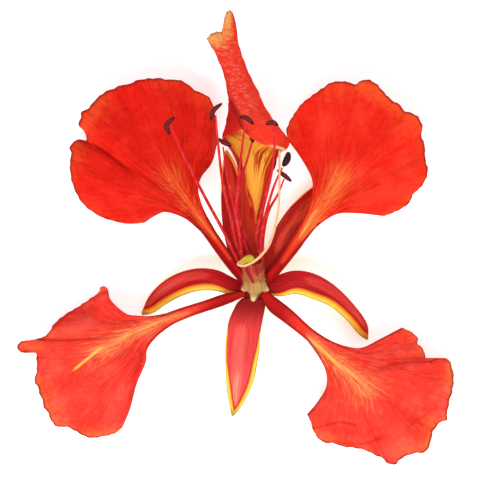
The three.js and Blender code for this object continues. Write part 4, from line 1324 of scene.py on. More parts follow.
PETALS = (
    Petal(
        node="petal_upper_left", skin=UPPER_PETAL, throats=(4, 3),
        first=((-2.6, 6.9), (-7.0, 12.3), (-10.0, 16.3), (-13.8, 21.3), (-16.8, 24.1), (-19.5, 25.6),
               (-21.9, 26.0), (-24.6, 25.1), (-27.9, 23.1)),
        margin=((-31.7, 22.8), (-37.1, 23.9), (-40.4, 25.5), (-43.0, 27.6), (-44.7, 30.1), (-46.0, 33.6),
                (-46.5, 37.4), (-46.2, 40.6), (-46.6, 42.0), (-45.5, 43.5), (-43.9, 44.0), (-42.3, 43.7),
                (-43.0, 46.4), (-44.3, 47.7), (-43.7, 49.3), (-43.6, 50.7), (-41.7, 51.9), (-40.4, 53.6),
                (-37.4, 56.1), (-35.2, 56.9), (-33.6, 57.7), (-31.7, 57.9), (-29.8, 58.8), (-24.4, 59.4),
                (-21.6, 59.0), (-19.8, 59.1), (-17.6, 58.4), (-14.9, 56.4), (-12.1, 55.1), (-10.8, 53.6),
                (-10.0, 50.0)),
        second=((-1.5, 8.5), (-5.0, 13.5), (-10.0, 20.9), (-12.7, 25.5), (-14.3, 30.5), (-13.6, 34.2),
                (-10.9, 38.0), (-9.5, 43.0)),
        heights=(9.5, 11.0, 13.2, 14.6, 14.8, 14.0, 12.3, 9.8), droop=2.2, ruffle=1.1, waves=4.5, phase=0.4,
        midvein=Midvein(((-9.4, 17.4), (-13.4, 23.4), (-18.6, 31.0), (-23.0, 37.0), (-27.0, 41.0)),
                        5.0, 0.54, 0.34),
        golds=(Streak(((-8.2, 16.9), (-11.0, 20.8), (-13.6, 24.2), (-16.8, 27.6)), 0.4, 0.6),),
        painted_soft_shades=(Streak(((-17.6, 25.3), (-14.6, 22.7), (-10.6, 17.6), (-7.0, 12.8)), 0.9, 0.8),
               Streak(((-10.4, 35.5), (-9.2, 42.0), (-10.2, 50.0)), 4.0, 0.65),
               Streak(((-17.0, 36.0), (-20.0, 44.0)), 7.0, 0.2)),
        warms=(Streak(((-6.2, 14.4), (-8.6, 17.6), (-12.0, 22.2), (-15.6, 26.6)), 0.9, 0.9),
               Streak(((-45.6, 40.0), (-43.5, 46.0), (-39.0, 54.0)), 3.0, 0.7),
               Streak(((-46.5, 39.0), (-46.0, 32.0)), 1.6, 0.5)),
        folds=(Fold(((-43.6, 43.8), (-39.0, 42.1), (-34.1, 38.5), (-29.8, 35.2), (-26.0, 32.4)), 0.8,
                    dark=0.9, crease=0.35, fades_from=0.55),),
        seed=21,
    ),
    Petal(
        node="petal_upper_right", skin=BRIGHT_PETAL, throats=(3, 3),
        first=((1.5, 8.6), (5.4, 13.4), (8.9, 18.9), (12.6, 24.5), (14.4, 29.0), (14.6, 33.2),
               (11.9, 38.6), (8.2, 44.0)),
        margin=((7.8, 46.3), (8.7, 48.7), (10.2, 51.0), (11.8, 53.1), (13.7, 54.6), (17.6, 57.4),
                (19.2, 58.4), (23.4, 58.5), (25.0, 57.8), (26.6, 58.7), (28.2, 59.0), (30.2, 58.1),
                (32.9, 55.3), (35.2, 53.3), (36.3, 52.9), (37.3, 51.3), (40.0, 50.3), (41.0, 49.5),
                (42.0, 47.0), (41.7, 45.3), (42.6, 42.6), (42.8, 39.0), (43.4, 35.8), (41.8, 32.2),
                (39.8, 30.3), (38.9, 28.2), (36.3, 26.3), (34.0, 25.3)),
        second=((2.8, 7.0), (5.3, 9.7), (11.3, 17.0), (14.7, 21.7), (17.6, 24.1), (20.5, 25.4),
                (25.5, 25.5), (32.5, 24.8)),
        heights=(9.5, 11.0, 13.2, 14.8, 15.0, 14.2, 12.6, 10.4), droop=2.0, ruffle=1.2, waves=5.0, phase=2.1,
        midvein=Midvein(((10.6, 17.2), (14.4, 23.0), (19.0, 30.4), (22.0, 36.5), (24.5, 42.0)),
                        5.5, 0.68, 0.38),
        golds=(Streak(((9.6, 17.0), (11.8, 20.4), (14.4, 24.8), (18.4, 29.4)), 0.6, 0.65),),
        painted_soft_shades=(Streak(((13.0, 40.0), (20.0, 45.0), (28.0, 44.0)), 5.0, 0.12),
               Streak(((9.4, 47.0), (9.6, 42.0), (13.6, 36.0)), 1.6, 0.35),
               Streak(((6.4, 10.6), (11.6, 16.8), (15.0, 21.6), (18.0, 23.9)), 0.6, 0.7)),
        warms=(Streak(((7.4, 13.6), (9.2, 16.6), (11.6, 20.2), (15.0, 25.6)), 1.2, 0.75),
               Streak(((27.0, 58.0), (34.0, 53.5), (40.5, 49.5)), 3.0, 0.7)),
        folds=(Fold(((10.0, 51.4), (12.5, 46.0), (16.0, 38.0)), 0.4, 4.0, 0.3),),
        seed=34,
    ),
    Petal(
        node="petal_lower_left", skin=LOWER_PETAL, throats=(4, 4),
        first=((-2.5, 6.1), (-7.8, 5.0), (-12.5, 3.4), (-18.5, 1.6), (-23.8, -0.2), (-29.1, -0.5),
               (-31.5, -0.3), (-33.4, 0.8), (-35.2, 2.4), (-36.4, 4.0), (-37.0, 6.4)),
        margin=((-37.8, 7.2), (-38.9, 6.9), (-39.3, 5.6), (-40.5, 4.8), (-42.8, 3.2), (-45.0, 1.7),
                (-47.0, 0.6), (-49.1, -1.0), (-50.7, -2.5), (-52.0, -4.7), (-53.6, -5.7), (-56.5, -6.4),
                (-59.1, -6.9), (-59.8, -7.8), (-59.3, -9.2), (-56.5, -9.4), (-55.2, -9.5), (-54.9, -11.2),
                (-54.9, -13.9), (-55.5, -17.0), (-54.8, -17.8), (-54.1, -20.2), (-53.2, -21.8),
                (-53.2, -23.2), (-52.3, -24.1), (-51.0, -27.0), (-49.7, -28.2), (-47.3, -28.3),
                (-45.0, -29.4), (-43.1, -30.5), (-41.0, -31.0), (-38.1, -30.6), (-35.5, -30.0),
                (-34.2, -29.2)),
        second=((-2.4, 4.6), (-9.4, 2.0), (-15.7, -0.1), (-21.2, -2.6), (-24.6, -5.1), (-27.0, -8.3),
                (-27.3, -11.5), (-29.6, -17.0), (-31.4, -23.6), (-33.4, -28.4)),
        heights=(9.5, 10.8, 12.0, 12.8, 12.6, 11.4, 9.2, 6.4), droop=1.0, ruffle=1.2, waves=4.5, phase=1.2,
        midvein=Midvein(((-15.0, 0.9), (-20.5, -0.5), (-26.0, -2.6), (-33.0, -5.7), (-38.5, -9.0),
                         (-46.5, -14.8)), 4.5, 0.6, 0.85), dark_claw=(0.2, 0.75),
        golds=(Streak(((-36.0, -7.0), (-39.4, -9.0), (-42.6, -11.6), (-48.0, -16.0)), 0.5),
               Streak(((-17.0, 0.3), (-25.2, -2.2), (-31.3, -4.7), (-40.0, -9.4)), 0.7, 0.55)),
        shades=(Streak(((-37.6, 5.5), (-41.8, 3.4), (-46.6, 0.3), (-50.6, -3.2), (-53.0, -5.9)), 0.7, 0.6),
                Streak(((-28.5, -9.5), (-30.0, -16.0), (-33.0, -26.0)), 0.8, 0.4)),
        painted_soft_shades=(Streak(((-50.0, -2.8), (-45.5, -0.8), (-41.0, 1.2)), 2.2, 0.6),
               Streak(((-29.0, -10.0), (-30.4, -17.0), (-32.4, -24.0)), 2.0, 0.3),
               Streak(((-44.0, -4.6), (-37.0, -5.0), (-31.0, -3.0)), 1.0, 0.35)),
        warms=(Streak(((-55.0, -16.0), (-50.0, -27.0), (-42.0, -30.5), (-35.0, -29.5)), 2.0, 0.55),
               Streak(((-59.5, -8.0), (-54.0, -8.0)), 1.5, 0.5)),
        seed=55,
    ),
    Petal(
        node="petal_lower_right", skin=LOWER_PETAL, throats=(4, 4),
        first=((2.5, 6.3), (5.2, 4.2), (8.8, 1.4), (13.8, -3.2), (18.0, -6.2), (22.7, -7.9), (26.5, -8.2),
               (31.6, -5.9), (37.0, -3.2)),
        margin=((38.8, -4.0), (40.6, -5.3), (41.1, -6.3), (40.9, -7.2), (41.8, -8.0), (42.8, -9.7),
                (42.8, -10.7), (43.3, -11.6), (45.7, -11.3), (48.5, -11.1), (49.2, -12.2), (50.0, -15.3),
                (49.5, -19.6), (48.8, -21.7), (48.6, -23.5), (48.2, -25.2), (48.5, -26.4), (47.0, -26.8),
                (44.7, -29.6), (44.2, -31.8), (42.9, -34.4), (40.6, -34.7), (38.3, -35.4), (36.2, -36.7),
                (35.8, -37.5), (33.5, -37.5), (32.4, -36.3), (30.1, -35.2), (27.6, -34.0), (24.8, -33.5),
                (22.0, -33.2), (19.7, -32.4), (17.4, -32.2), (15.6, -30.8), (14.5, -28.8), (13.8, -26.5)),
        second=((1.3, 4.7), (3.6, 1.2), (7.6, -1.9), (12.8, -6.1), (15.9, -9.9), (17.8, -14.0),
                (17.9, -17.9), (15.8, -21.7), (13.0, -25.2)),
        heights=(9.5, 10.8, 12.0, 12.8, 12.6, 11.6, 9.8, 7.2), droop=1.0, ruffle=1.3, waves=5.0, phase=3.4,
        midvein=Midvein(((12.0, -4.4), (16.5, -8.4), (21.6, -13.0), (27.0, -17.6), (33.0, -25.0)),
                        6.0, 0.6, 0.95, 1.5), dark_claw=(0.2, 0.75),
        golds=(Streak(((10.6, -3.2), (13.8, -6.2), (19.1, -10.8), (24.1, -14.8), (29.5, -19.4)), 0.7, 0.85),),
        shades=(Streak(((14.2, -28.6), (17.5, -27.6), (21.0, -26.8), (25.0, -27.4)), 0.5, 0.6),
                Streak(((16.5, -31.6), (22.0, -32.2), (27.0, -32.2), (31.5, -30.8)), 0.55, 0.55),
                Streak(((39.0, -27.4), (42.5, -25.2), (45.5, -23.0)), 0.6, 0.45),
                Streak(((27.0, -14.4), (34.0, -13.6), (41.0, -12.4)), 0.8, 0.35)),
        painted_soft_shades=(Streak(((20.0, -29.0), (28.0, -30.0), (35.0, -31.0)), 2.2, 0.35),
               Streak(((32.0, -11.6), (38.0, -11.0), (42.4, -11.0)), 1.5, 0.45),
               Streak(((17.0, -12.0), (18.2, -17.0), (16.4, -22.0)), 1.4, 0.3)),
        warms=(Streak(((49.0, -13.0), (49.0, -19.0)), 2.0, 0.6),
               Streak(((47.5, -26.5), (44.5, -30.5), (42.5, -34.5)), 2.0, 0.7)),
        folds=(Fold(((43.6, -11.9), (38.0, -12.2), (33.0, -13.0), (28.0, -14.5)), 0.9, 5.0, 0.55),
               Fold(((18.0, -31.6), (23.0, -31.4), (28.0, -31.6)), 0.35, 3.0, 0.35, 0.6, 0.6)),
        seed=89,
    ),
)

SEPALS = (
    Sepal(
        node="sepal_bottom", skin=LIT_SEPAL,
        first=((-3.2, 4.2), (-4.5, 2.9), (-5.5, 1.0), (-6.5, -1.4), (-7.3, -6.5), (-7.4, -13.0),
               (-6.9, -20.0), (-5.9, -25.6)),
        second=((2.8, 4.0), (2.6, 2.2), (1.9, -1.4), (1.4, -4.0), (0.9, -10.0), (-0.6, -17.4),
                (-3.4, -23.2), (-5.2, -25.4)),
        heights=(8.3, 8.3, 7.9, 6.9, 5.2, 2.9, 0.5), tilt=0.3,
        margin_first=(1.5, 0.6), margin_second=(1.6, 0.4), light_from=0.12, light_side=-0.2, sheen_from=0.45,
        sheen=0.65, sheen_width=0.7, painted_soft_shade=1.0, hem=0.4,
    ),
    Sepal(
        node="sepal_lower_left", skin=FRONT_SEPAL,
        first=((-2.9, 7.9), (-5.6, 9.3), (-9.4, 11.1), (-13.8, 11.6), (-18.4, 10.7), (-22.8, 8.5),
               (-26.5, 4.8), (-28.6, 0.4)),
        second=((-2.9, 5.2), (-6.5, 5.2), (-10.6, 6.1), (-14.6, 5.9), (-18.8, 4.5), (-22.6, 2.4),
                (-25.6, 0.4), (-28.2, -0.2)),
        heights=(7.9, 8.1, 7.9, 7.3, 6.2, 4.7, 2.7, 0.5), tilt=-1.8, channel=-0.5,
        margin_first=(0.35, 0.5), margin_second=(2.2, 0.1), light_from=0.2, light_side=-0.35, sheen_from=0.3,
    ),
    Sepal(
        node="sepal_lower_right", skin=FRONT_SEPAL,
        first=((2.9, 8.2), (5.6, 9.8), (9.8, 11.0), (14.4, 10.4), (19.0, 8.0), (24.0, 3.4), (28.3, -2.6),
               (28.6, -6.2)),
        second=((2.9, 5.2), (6.2, 4.6), (10.2, 5.2), (14.6, 3.9), (19.0, 2.0), (23.2, -1.6), (26.4, -5.2),
                (28.1, -6.3)),
        heights=(7.9, 8.1, 7.9, 7.2, 6.0, 4.4, 2.3, 0.5), tilt=-1.8, channel=-0.5,
        margin_first=(0.3, 0.9), margin_second=(2.2, 0.1), light_from=0.2, light_side=-0.35, sheen_from=0.55,
    ),
    Sepal(
        node="sepal_upper_left", skin=BACK_SEPAL,
        first=((-3.1, 9.0), (-5.2, 12.4), (-7.0, 17.0), (-8.2, 23.5), (-8.5, 31.0), (-8.3, 36.5),
               (-7.5, 41.2)),
        second=((-0.4, 10.1), (-0.9, 13.6), (-1.5, 18.6), (-2.3, 25.0), (-3.3, 32.0), (-4.9, 38.0),
                (-6.9, 41.3)),
        heights=(7.7, 7.8, 7.3, 6.2, 4.6, 2.7, 0.5),
        margin_first=(0.6, 0.7), margin_second=(1.1, 0.75), light_from=0.5, sheen_from=0.9, painted_soft_shade=0.3,
    ),
    Sepal(
        node="sepal_upper_right", skin=BACK_SEPAL,
        first=((0.4, 10.4), (2.0, 14.4), (4.6, 20.6), (8.2, 26.2), (12.4, 30.6), (16.2, 33.2), (18.8, 34.4)),
        second=((3.3, 9.0), (6.0, 12.4), (9.4, 17.2), (12.8, 22.0), (15.9, 26.8), (18.2, 31.0), (19.3, 33.9)),
        heights=(7.7, 7.8, 7.3, 6.2, 4.6, 2.7, 0.5),
        margin_first=(0.4, 0.6), margin_second=(0.5, 0.5), light_from=0.12, sheen_from=0.9, painted_soft_shade=0.3,
    ),
)


# Threads swept by Geometry Nodes

def open_tree(name: str, **inputs: float) -> tuple[GeometryNodeTree, Node]:
    """Starts a Geometry Nodes tree with geometry in and out and with named inputs.

    Args:
        name: Name of the tree.
        inputs: First value of each named input; a whole number makes it an integer input.

    Returns:
        The tree, and the node that brings its inputs in.
    """
    tree = bpy.data.node_groups.new(name, "GeometryNodeTree")
    for way in ("INPUT", "OUTPUT"):
        tree.interface.new_socket("Geometry", in_out=way, socket_type="NodeSocketGeometry")
    for key, value in inputs.items():
        kind = "NodeSocketInt" if isinstance(value, int) else "NodeSocketFloat"
        tree.interface.new_socket(key, in_out="INPUT", socket_type=kind).default_value = value
    return tree, add_node(tree, "NodeGroupInput")


def close_tree(tree: GeometryNodeTree, shape: NodeSocket, skin: Finish) -> None:
    """Ends a Geometry Nodes tree: makes instances real and gives them their finish.

    Args:
        tree: Tree to end.
        shape: Geometry that it has made.
        skin: Finish.
    """
    real = add_node(tree, "GeometryNodeRealizeInstances", {"Geometry": shape})
    dressed = add_node(tree, "GeometryNodeSetMaterial", {"Geometry": real.outputs[0], "Material": made(skin)})
    add_node(tree, "NodeGroupOutput", {"Geometry": dressed.outputs[0]})


def thread_tree(name: str, skin: Finish) -> GeometryNodeTree:
    """Builds the tree that sweeps a round section along a curve and marks its run.

    Args:
        name: Name of the tree.
        skin: Finish that the thread takes.

    Returns:
        Tree with the inputs Sides and Step.
    """
    tree, source = open_tree(name, Sides=14, Step=0.25 * MM)
    fine = add_node(tree, "GeometryNodeResampleCurve", {"Curve": source.outputs["Geometry"],
                                                        "Length": source.outputs["Step"]}, mode="LENGTH")
    run = add_node(tree, "GeometryNodeSplineParameter")
    marked = add_node(tree, "GeometryNodeStoreNamedAttribute",
                      {"Geometry": fine.outputs[0], "Name": "run", "Value": run.outputs["Factor"]},
                      data_type="FLOAT", domain="POINT")
    section = add_node(tree, "GeometryNodeCurvePrimitiveCircle",
                       {"Resolution": source.outputs["Sides"], "Radius": 1.0}, mode="RADIUS")
    thickness = add_node(tree, "GeometryNodeInputRadius")
    swept = add_node(tree, "GeometryNodeCurveToMesh", {
        "Curve": marked.outputs[0], "Profile Curve": section.outputs[0],
        "Scale": thickness.outputs[0], "Fill Caps": True})
    smooth = add_node(tree, "GeometryNodeSetShadeSmooth", {"Geometry": swept.outputs[0]})
    close_tree(tree, smooth.outputs[0], skin)
    return tree


def set_input(modifier: Modifier, name: str, value: Any) -> None:
    """Sets one input of a Geometry Nodes modifier.

    Args:
        modifier: Modifier, with its tree already chosen.
        name: Name of the tree's input, whose identifier is looked up.
        value: New value.
    """
    for item in modifier.node_group.interface.items_tree:
        if item.item_type == "SOCKET" and item.in_out == "INPUT" and item.name == name:
            modifier[item.identifier] = value


def run_tree(source: Object, tree: GeometryNodeTree, name: str, **values: Any) -> Object:
    """Runs a tree on an object and keeps the result as a plain mesh piece.

    Args:
        source: Object that the tree starts from; it is deleted afterwards.
        tree: Geometry Nodes tree.
        name: Name of the new piece.
        values: Values for the tree's named inputs.

    Returns:
        The new piece.
    """
    modifier = source.modifiers.new("maker", "NODES")
    modifier.node_group = tree
    for key, value in values.items():
        set_input(modifier, key, value)
    bpy.context.view_layer.update()
    graph = bpy.context.evaluated_depsgraph_get()
    mesh = bpy.data.meshes.new_from_object(source.evaluated_get(graph), depsgraph=graph)
    mesh.name = name
    bpy.data.objects.remove(source, do_unlink=True)
    return placed(name, mesh)


# Points that a thread's course is drawn with
COURSE_POINTS = 60


def thread_curve(name: str, course: Sequence[Point3], radii: Sequence[float]) -> Object:
    """Makes the curve that a thread is swept along.

    Args:
        name: Curve's name.
        course: Points that it runs through, in millimetres.
        radii: Evenly spaced radii from its start to its end, in millimetres.

    Returns:
        The linked curve.
    """
    shares = np.linspace(0, 1, COURSE_POINTS)
    places = PlanCurve(course).at(shares) * MM
    data = bpy.data.curves.new(name, "CURVE")
    data.dimensions = "3D"
    spline = data.splines.new("POLY")
    spline.points.add(len(places) - 1)
    for point, place, radius in zip(spline.points, places, along(radii, shares) * MM):
        point.co = (*place, 1.0)
        point.radius = radius
    return placed(name, data)


@dataclass(frozen=True)
class Stamen:
    """One stamen: its place on the ring in degrees, its course, and its anther's three points."""

    ring: float
    course: tuple[Point3, ...]
    anther: tuple[Point3, Point3, Point3]
    thick: float = 1.0


STAMENS = (
    Stamen(150, ((-4.5, 14.1, 18.6), (-7.4, 20.1, 20.2), (-12.2, 28.9, 21.8), (-18.0, 40.3, 22.4),
                 (-20.95, 46.95, 22.3)), ((-20.0, 49.3, 22.4), (-22.0, 47.2, 22.6), (-21.2, 44.9, 22.3))),
    Stamen(202, ((-4.5, 17.5, 17.9), (-6.0, 24.5, 20.4), (-8.0, 32.8, 22.5), (-9.2, 42.9, 24.0),
                 (-9.8, 49.7, 24.2)), ((-8.2, 52.6, 24.2), (-10.2, 50.9, 24.9), (-11.0, 48.4, 24.5))),
    Stamen(227, ((-3.9, 20.0, 17.2), (-5.4, 28.0, 19.6), (-7.0, 35.0, 20.6), (-7.95, 41.9, 20.9)),
           ((-9.2, 43.9, 20.7), (-7.7, 42.9, 21.2), (-5.9, 42.1, 20.8))),
    Stamen(178, ((-3.7, 18.5, 19.9), (-4.6, 25.0, 22.4), (-4.2, 33.0, 24.6), (-3.4, 40.5, 26.0),
                 (-2.4, 47.85, 26.7)), ((-3.9, 49.2, 26.6), (-2.2, 48.9, 27.1), (-0.3, 47.4, 26.7))),
    Stamen(251, ((-3.0, 18.8, 16.0), (-4.2, 27.5, 18.7), (-3.7, 33.0, 19.3), (-2.0, 38.6, 18.2),
                 (-0.8, 43.0, 15.9)), ((-1.5, 45.8, 14.9), (-0.8, 44.4, 15.2), (-0.5, 43.0, 15.4))),
    Stamen(346, ((0.4, 19.5, 17.5), (2.0, 27.0, 20.4), (4.0, 35.2, 23.0), (4.8, 41.5, 24.4),
                 (4.3, 46.85, 25.1)), ((2.7, 47.4, 25.0), (4.3, 47.9, 25.4), (5.7, 47.1, 25.0))),
    Stamen(36, ((1.5, 19.5, 20.6), (2.9, 26.2, 23.0), (5.0, 32.9, 24.6), (6.75, 36.65, 25.35)),
           ((6.9, 37.0, 25.8), (7.9, 38.7, 26.2), (8.3, 40.5, 25.8)), 1.5),
    Stamen(11, ((2.0, 19.5, 18.6), (3.4, 26.0, 20.3), (5.6, 30.0, 21.2), (7.2, 33.85, 21.95)),
           ((5.5, 36.1, 22.2), (7.1, 34.9, 22.6), (9.0, 33.3, 22.2))),
    Stamen(275, ((-2.1, 18.6, 14.1), (-4.3, 25.5, 15.9), (-4.1, 31.5, 16.7), (-3.9, 35.0, 16.6)),
           ((-3.9, 35.5, 16.6), (-3.8, 37.5, 16.6), (-3.6, 39.5, 16.9))),
    Stamen(319, ((1.1, 19.0, 14.6), (1.9, 26.0, 18.2), (3.3, 31.6, 19.6), (4.1, 35.4, 20.0)),
           ((4.2, 35.85, 20.1), (4.7, 38.0, 20.4), (4.9, 40.0, 20.3))),
)


# How far grains and hairs lean either way and turn, in radians, and their least and greatest size
LEAN_RANGE, FULL_TURN, SIZE_RANGE = 0.6, 6.28, (0.5, 1.2)


class Scatter(Enum):
    """What stands on a surface in great numbers."""

    GRAINS = "round grains"
    HAIRS = "fine hairs"


def scatter_tree(name: str, skin: Finish, kind: Scatter) -> GeometryNodeTree:
    """Builds the tree that scatters grains or hairs over a surface.

    Args:
        name: Name of the tree.
        skin: Finish of the grains or hairs.
        kind: What is scattered.

    Returns:
        Tree with the inputs Count, Length, Radius and Seed.
    """
    tree, source = open_tree(name, Count=0, Length=0.0, Radius=0.0, Seed=0)
    area = add_node(tree, "GeometryNodeInputMeshFaceArea")
    total = add_node(tree, "GeometryNodeAttributeStatistic",
                     {"Geometry": source.outputs["Geometry"], "Attribute": area.outputs[0]}, domain="FACE")
    density = add_node(tree, "ShaderNodeMath",
                       {0: source.outputs["Count"], 1: total.outputs["Sum"]}, operation="DIVIDE")
    points = add_node(tree, "GeometryNodeDistributePointsOnFaces", {
        "Mesh": source.outputs["Geometry"], "Density": density.outputs[0], "Seed": source.outputs["Seed"]})
    if kind is Scatter.GRAINS:
        item = add_node(tree, "GeometryNodeMeshIcoSphere",
                        {"Radius": source.outputs["Radius"], "Subdivisions": 1})
    else:
        item = add_node(tree, "GeometryNodeMeshCone", {
            "Vertices": 3, "Side Segments": 1, "Radius Top": 0.0, "Radius Bottom": source.outputs["Radius"],
            "Depth": source.outputs["Length"]})
    jitter = add_node(tree, "FunctionNodeRandomValue", {
        0: (-LEAN_RANGE, -LEAN_RANGE, 0.0), 1: (LEAN_RANGE, LEAN_RANGE, FULL_TURN),
        "Seed": source.outputs["Seed"]}, data_type="FLOAT_VECTOR")
    turned = add_node(tree, "FunctionNodeRotateEuler", {0: points.outputs["Rotation"], 1: jitter.outputs[0]},
                      space="LOCAL")
    size = add_node(tree, "FunctionNodeRandomValue", {2: SIZE_RANGE[0], 3: SIZE_RANGE[1],
                                                      "Seed": source.outputs["Seed"]}, data_type="FLOAT")
    standing = add_node(tree, "GeometryNodeInstanceOnPoints", {
        "Points": points.outputs[0], "Instance": item.outputs[0], "Rotation": turned.outputs[0],
        "Scale": size.outputs[1]})
    close_tree(tree, standing.outputs[0], skin)
    return tree


def linked_copy(piece: Object) -> Object:
    """Copies a piece with its mesh, so that a tree can be run on the copy."""
    return placed(piece.name, piece.data.copy())


# Bands that run down from the filaments over the collar and the foot
DARK_BANDS = (Streak(((-2.5, 12.8), (-1.7, 10.9), (-1.0, 9.4), (0.3, 6.9)), 0.5),
              Streak(((-0.1, 13.6), (0.3, 11.6), (0.6, 10.0), (0.8, 8.6)), 0.35, 0.7),
              Streak(((2.2, 13.6), (1.8, 12.0), (1.8, 10.6)), 0.3, 0.5))
PALE_BANDS = (Streak(((-1.6, 13.6), (-1.0, 11.9), (-0.4, 10.2), (0.2, 8.3)), 0.42),)


def run_marks(xy: Array) -> dict[str, Array]:
    """Marks the colours that run down from the filaments over the collar and the foot.

    Args:
        xy: Plan points of shape (..., 2), in millimetres.

    Returns:
        Marks by name: run, where the cream turns orange brown; red, where that turns red; band and pale, on
        the bands.
    """
    x, y = xy[..., 0], xy[..., 1]
    return {
        "run": smoothstep(y, 6.2, 10.0),
        "red": smoothstep(y, 8.6, 12.0) * smoothstep(x, -3.4, -1.6) * (1 - 0.6 * smoothstep(x, 1.0, 2.2)),
        "band": nearness(xy, DARK_BANDS, tapered=True),
        "pale": nearness(xy, PALE_BANDS, tapered=True),
    }


@dataclass
class StamenCluster:
    """Ten free stamens in a ring, with the collar of their crowded bases in front of the pistil.

    Sizes are in millimetres. Real pollen is about 0.05 mm across and too fine to show, so a grain stands for
    a small clump.
    """

    stamens: tuple[Stamen, ...] = STAMENS
    centre: Point3 = (-0.45, 10.72, 14.92)
    ring_radius: float = 2.4
    lean_degrees: float = 45.0
    radii: tuple[float, ...] = (0.46, 0.44, 0.4, 0.34, 0.22)
    foot_rise: float = 1.5
    anther_radius: float = 0.62
    groove_depth: float = 0.26
    anther_sides: int = 28
    anther_stations: int = 36
    dried: int = 7
    pollen_grains: int = 160
    pollen_mm: float = 0.07
    collar_from: float = 146.0
    collar_to: float = 38.0
    collar_radius: float = 2.8
    collar_top: float = 5.3
    collar_dip: float = 1.2
    collar_foot: float = -1.6
    collar_ridges: int = 7
    collar_ridge: float = 0.12
    collar_edge: float = 0.08
    collar_thickness: float = 0.35

    def _on_ring(self, degrees: Array, radius: Array, height: Array) -> Array:
        """Places points by the stamens' ring.

        Args:
            degrees: Angle on the ring, 0 right, 90 towards the viewer, 180 left.
            radius: Distance from the middle of the ring.
            height: Distance out of the ring's plane.

        Returns:
            Points in millimetres.
        """
        lean, turn = math.radians(self.lean_degrees), np.radians(degrees)
        near = np.array([0.0, -math.cos(lean), math.sin(lean)])
        out = np.array([0.0, math.sin(lean), math.cos(lean)])
        across = np.array([1.0, 0.0, 0.0])
        return (np.array(self.centre) + (radius * np.cos(turn))[..., None] * across
                + (radius * np.sin(turn))[..., None] * near + np.asarray(height)[..., None] * out)

    def _anther(self, stamen: Stamen) -> MeshParts:
        """Makes a curved body of two lobes with a groove between them.

        Args:
            stamen: Stamen that carries it.

        Returns:
            Parts of the closed mesh.
        """
        shares = np.linspace(0, 1, self.anther_stations)
        centres = PlanCurve(stamen.anther).at(shares)
        _, first, second = steady_frames(centres)
        swell = 0.22 + 0.78 * np.sin(np.pi * np.clip(shares, 0.005, 0.995)) ** 0.55
        radius = self.anther_radius * stamen.thick * swell
        angle = np.linspace(0, 2 * np.pi, self.anther_sides, endpoint=False)
        groove = np.abs(np.cos(angle)) ** 8
        lobe = 1 - self.groove_depth * groove + 0.05 * np.cos(2 * angle)
        rings = rings_round(centres, radius[:, None] * lobe[None], angle, second, first)
        inside = between(shares, (0.05, 0.25), (0.7, 0.9))
        # The groove's mark carries a paler line: partly the connective's own colour, partly a painted
        # highlight
        return lofted(rings, {"groove": groove[None] * inside[:, None]})

    def _collar(self) -> MeshParts:
        """Makes the ridged collar of filament bases.

        Returns:
            Parts of the closed mesh.
        """
        u, v = np.meshgrid(np.linspace(0, 1, 90), np.linspace(0, 1, 40))
        degrees = self.collar_from + (self.collar_to - self.collar_from) * u
        ridge = self.collar_ridge * np.cos(2 * np.pi * self.collar_ridges * u) * smoothstep(v, 0.3, 0.7)
        top = self.collar_top - self.collar_dip * (1 - smoothstep(u, 0.0, 0.5))
        rise = smoothstep(v, 0.0, 0.4)
        middle = self._on_ring(degrees, self.collar_radius + ridge - 0.15 * v - 0.35 * (1 - rise),
                               self.collar_foot + (top - self.collar_foot) * v)
        marks = run_marks(middle[..., :2])
        # Painted shade towards both ends of the collar
        ends = 0.6 * smoothstep(u, 0.84, 1.0) + 0.5 * (1 - smoothstep(u, 0.0, 0.12))
        marks["painted_soft_shade"] = ends * smoothstep(v, 0.3, 0.6)
        thickness = self.collar_edge + (self.collar_thickness - self.collar_edge) * rise
        return closed_sheet(middle, thickness, u, v, marks)

    def build(self) -> None:
        """Makes every filament and anther with its pollen, and the collar."""
        sweep = thread_tree("filament sweep", FILAMENT_SKIN)
        grains = scatter_tree("pollen grains", POLLEN_SKIN, Scatter.GRAINS)
        for number, stamen in enumerate(self.stamens, start=1):
            tag = f"{number:02d}"
            foot = self._on_ring(np.full(2, stamen.ring), np.full(2, self.ring_radius),
                                 np.array([0.0, self.foot_rise]))
            curve = thread_curve(f"course_{tag}", [*foot.tolist(), *stamen.course], self.radii)
            filament = run_tree(curve, sweep, f"flower_filament_{tag}")
            seat(filament, "filament_crimson", f"filament_{tag}")
            skin = DRY_ANTHER_SKIN if number == self.dried else ANTHER_SKIN
            anther = make_piece(f"flower_anther_{tag}", self._anther(stamen), skin)
            seat(anther, "anther_maroon", f"anther_{tag}")
            dust = run_tree(linked_copy(anther), grains, f"flower_pollen_{tag}", Count=self.pollen_grains,
                            Radius=self.pollen_mm * MM, Seed=number)
            seat(dust, "anther_maroon")
        collar = make_piece("flower_stamen_collar", self._collar(), COLLAR_SKIN)
        seat(collar, "filament_crimson", "stamen_collar")


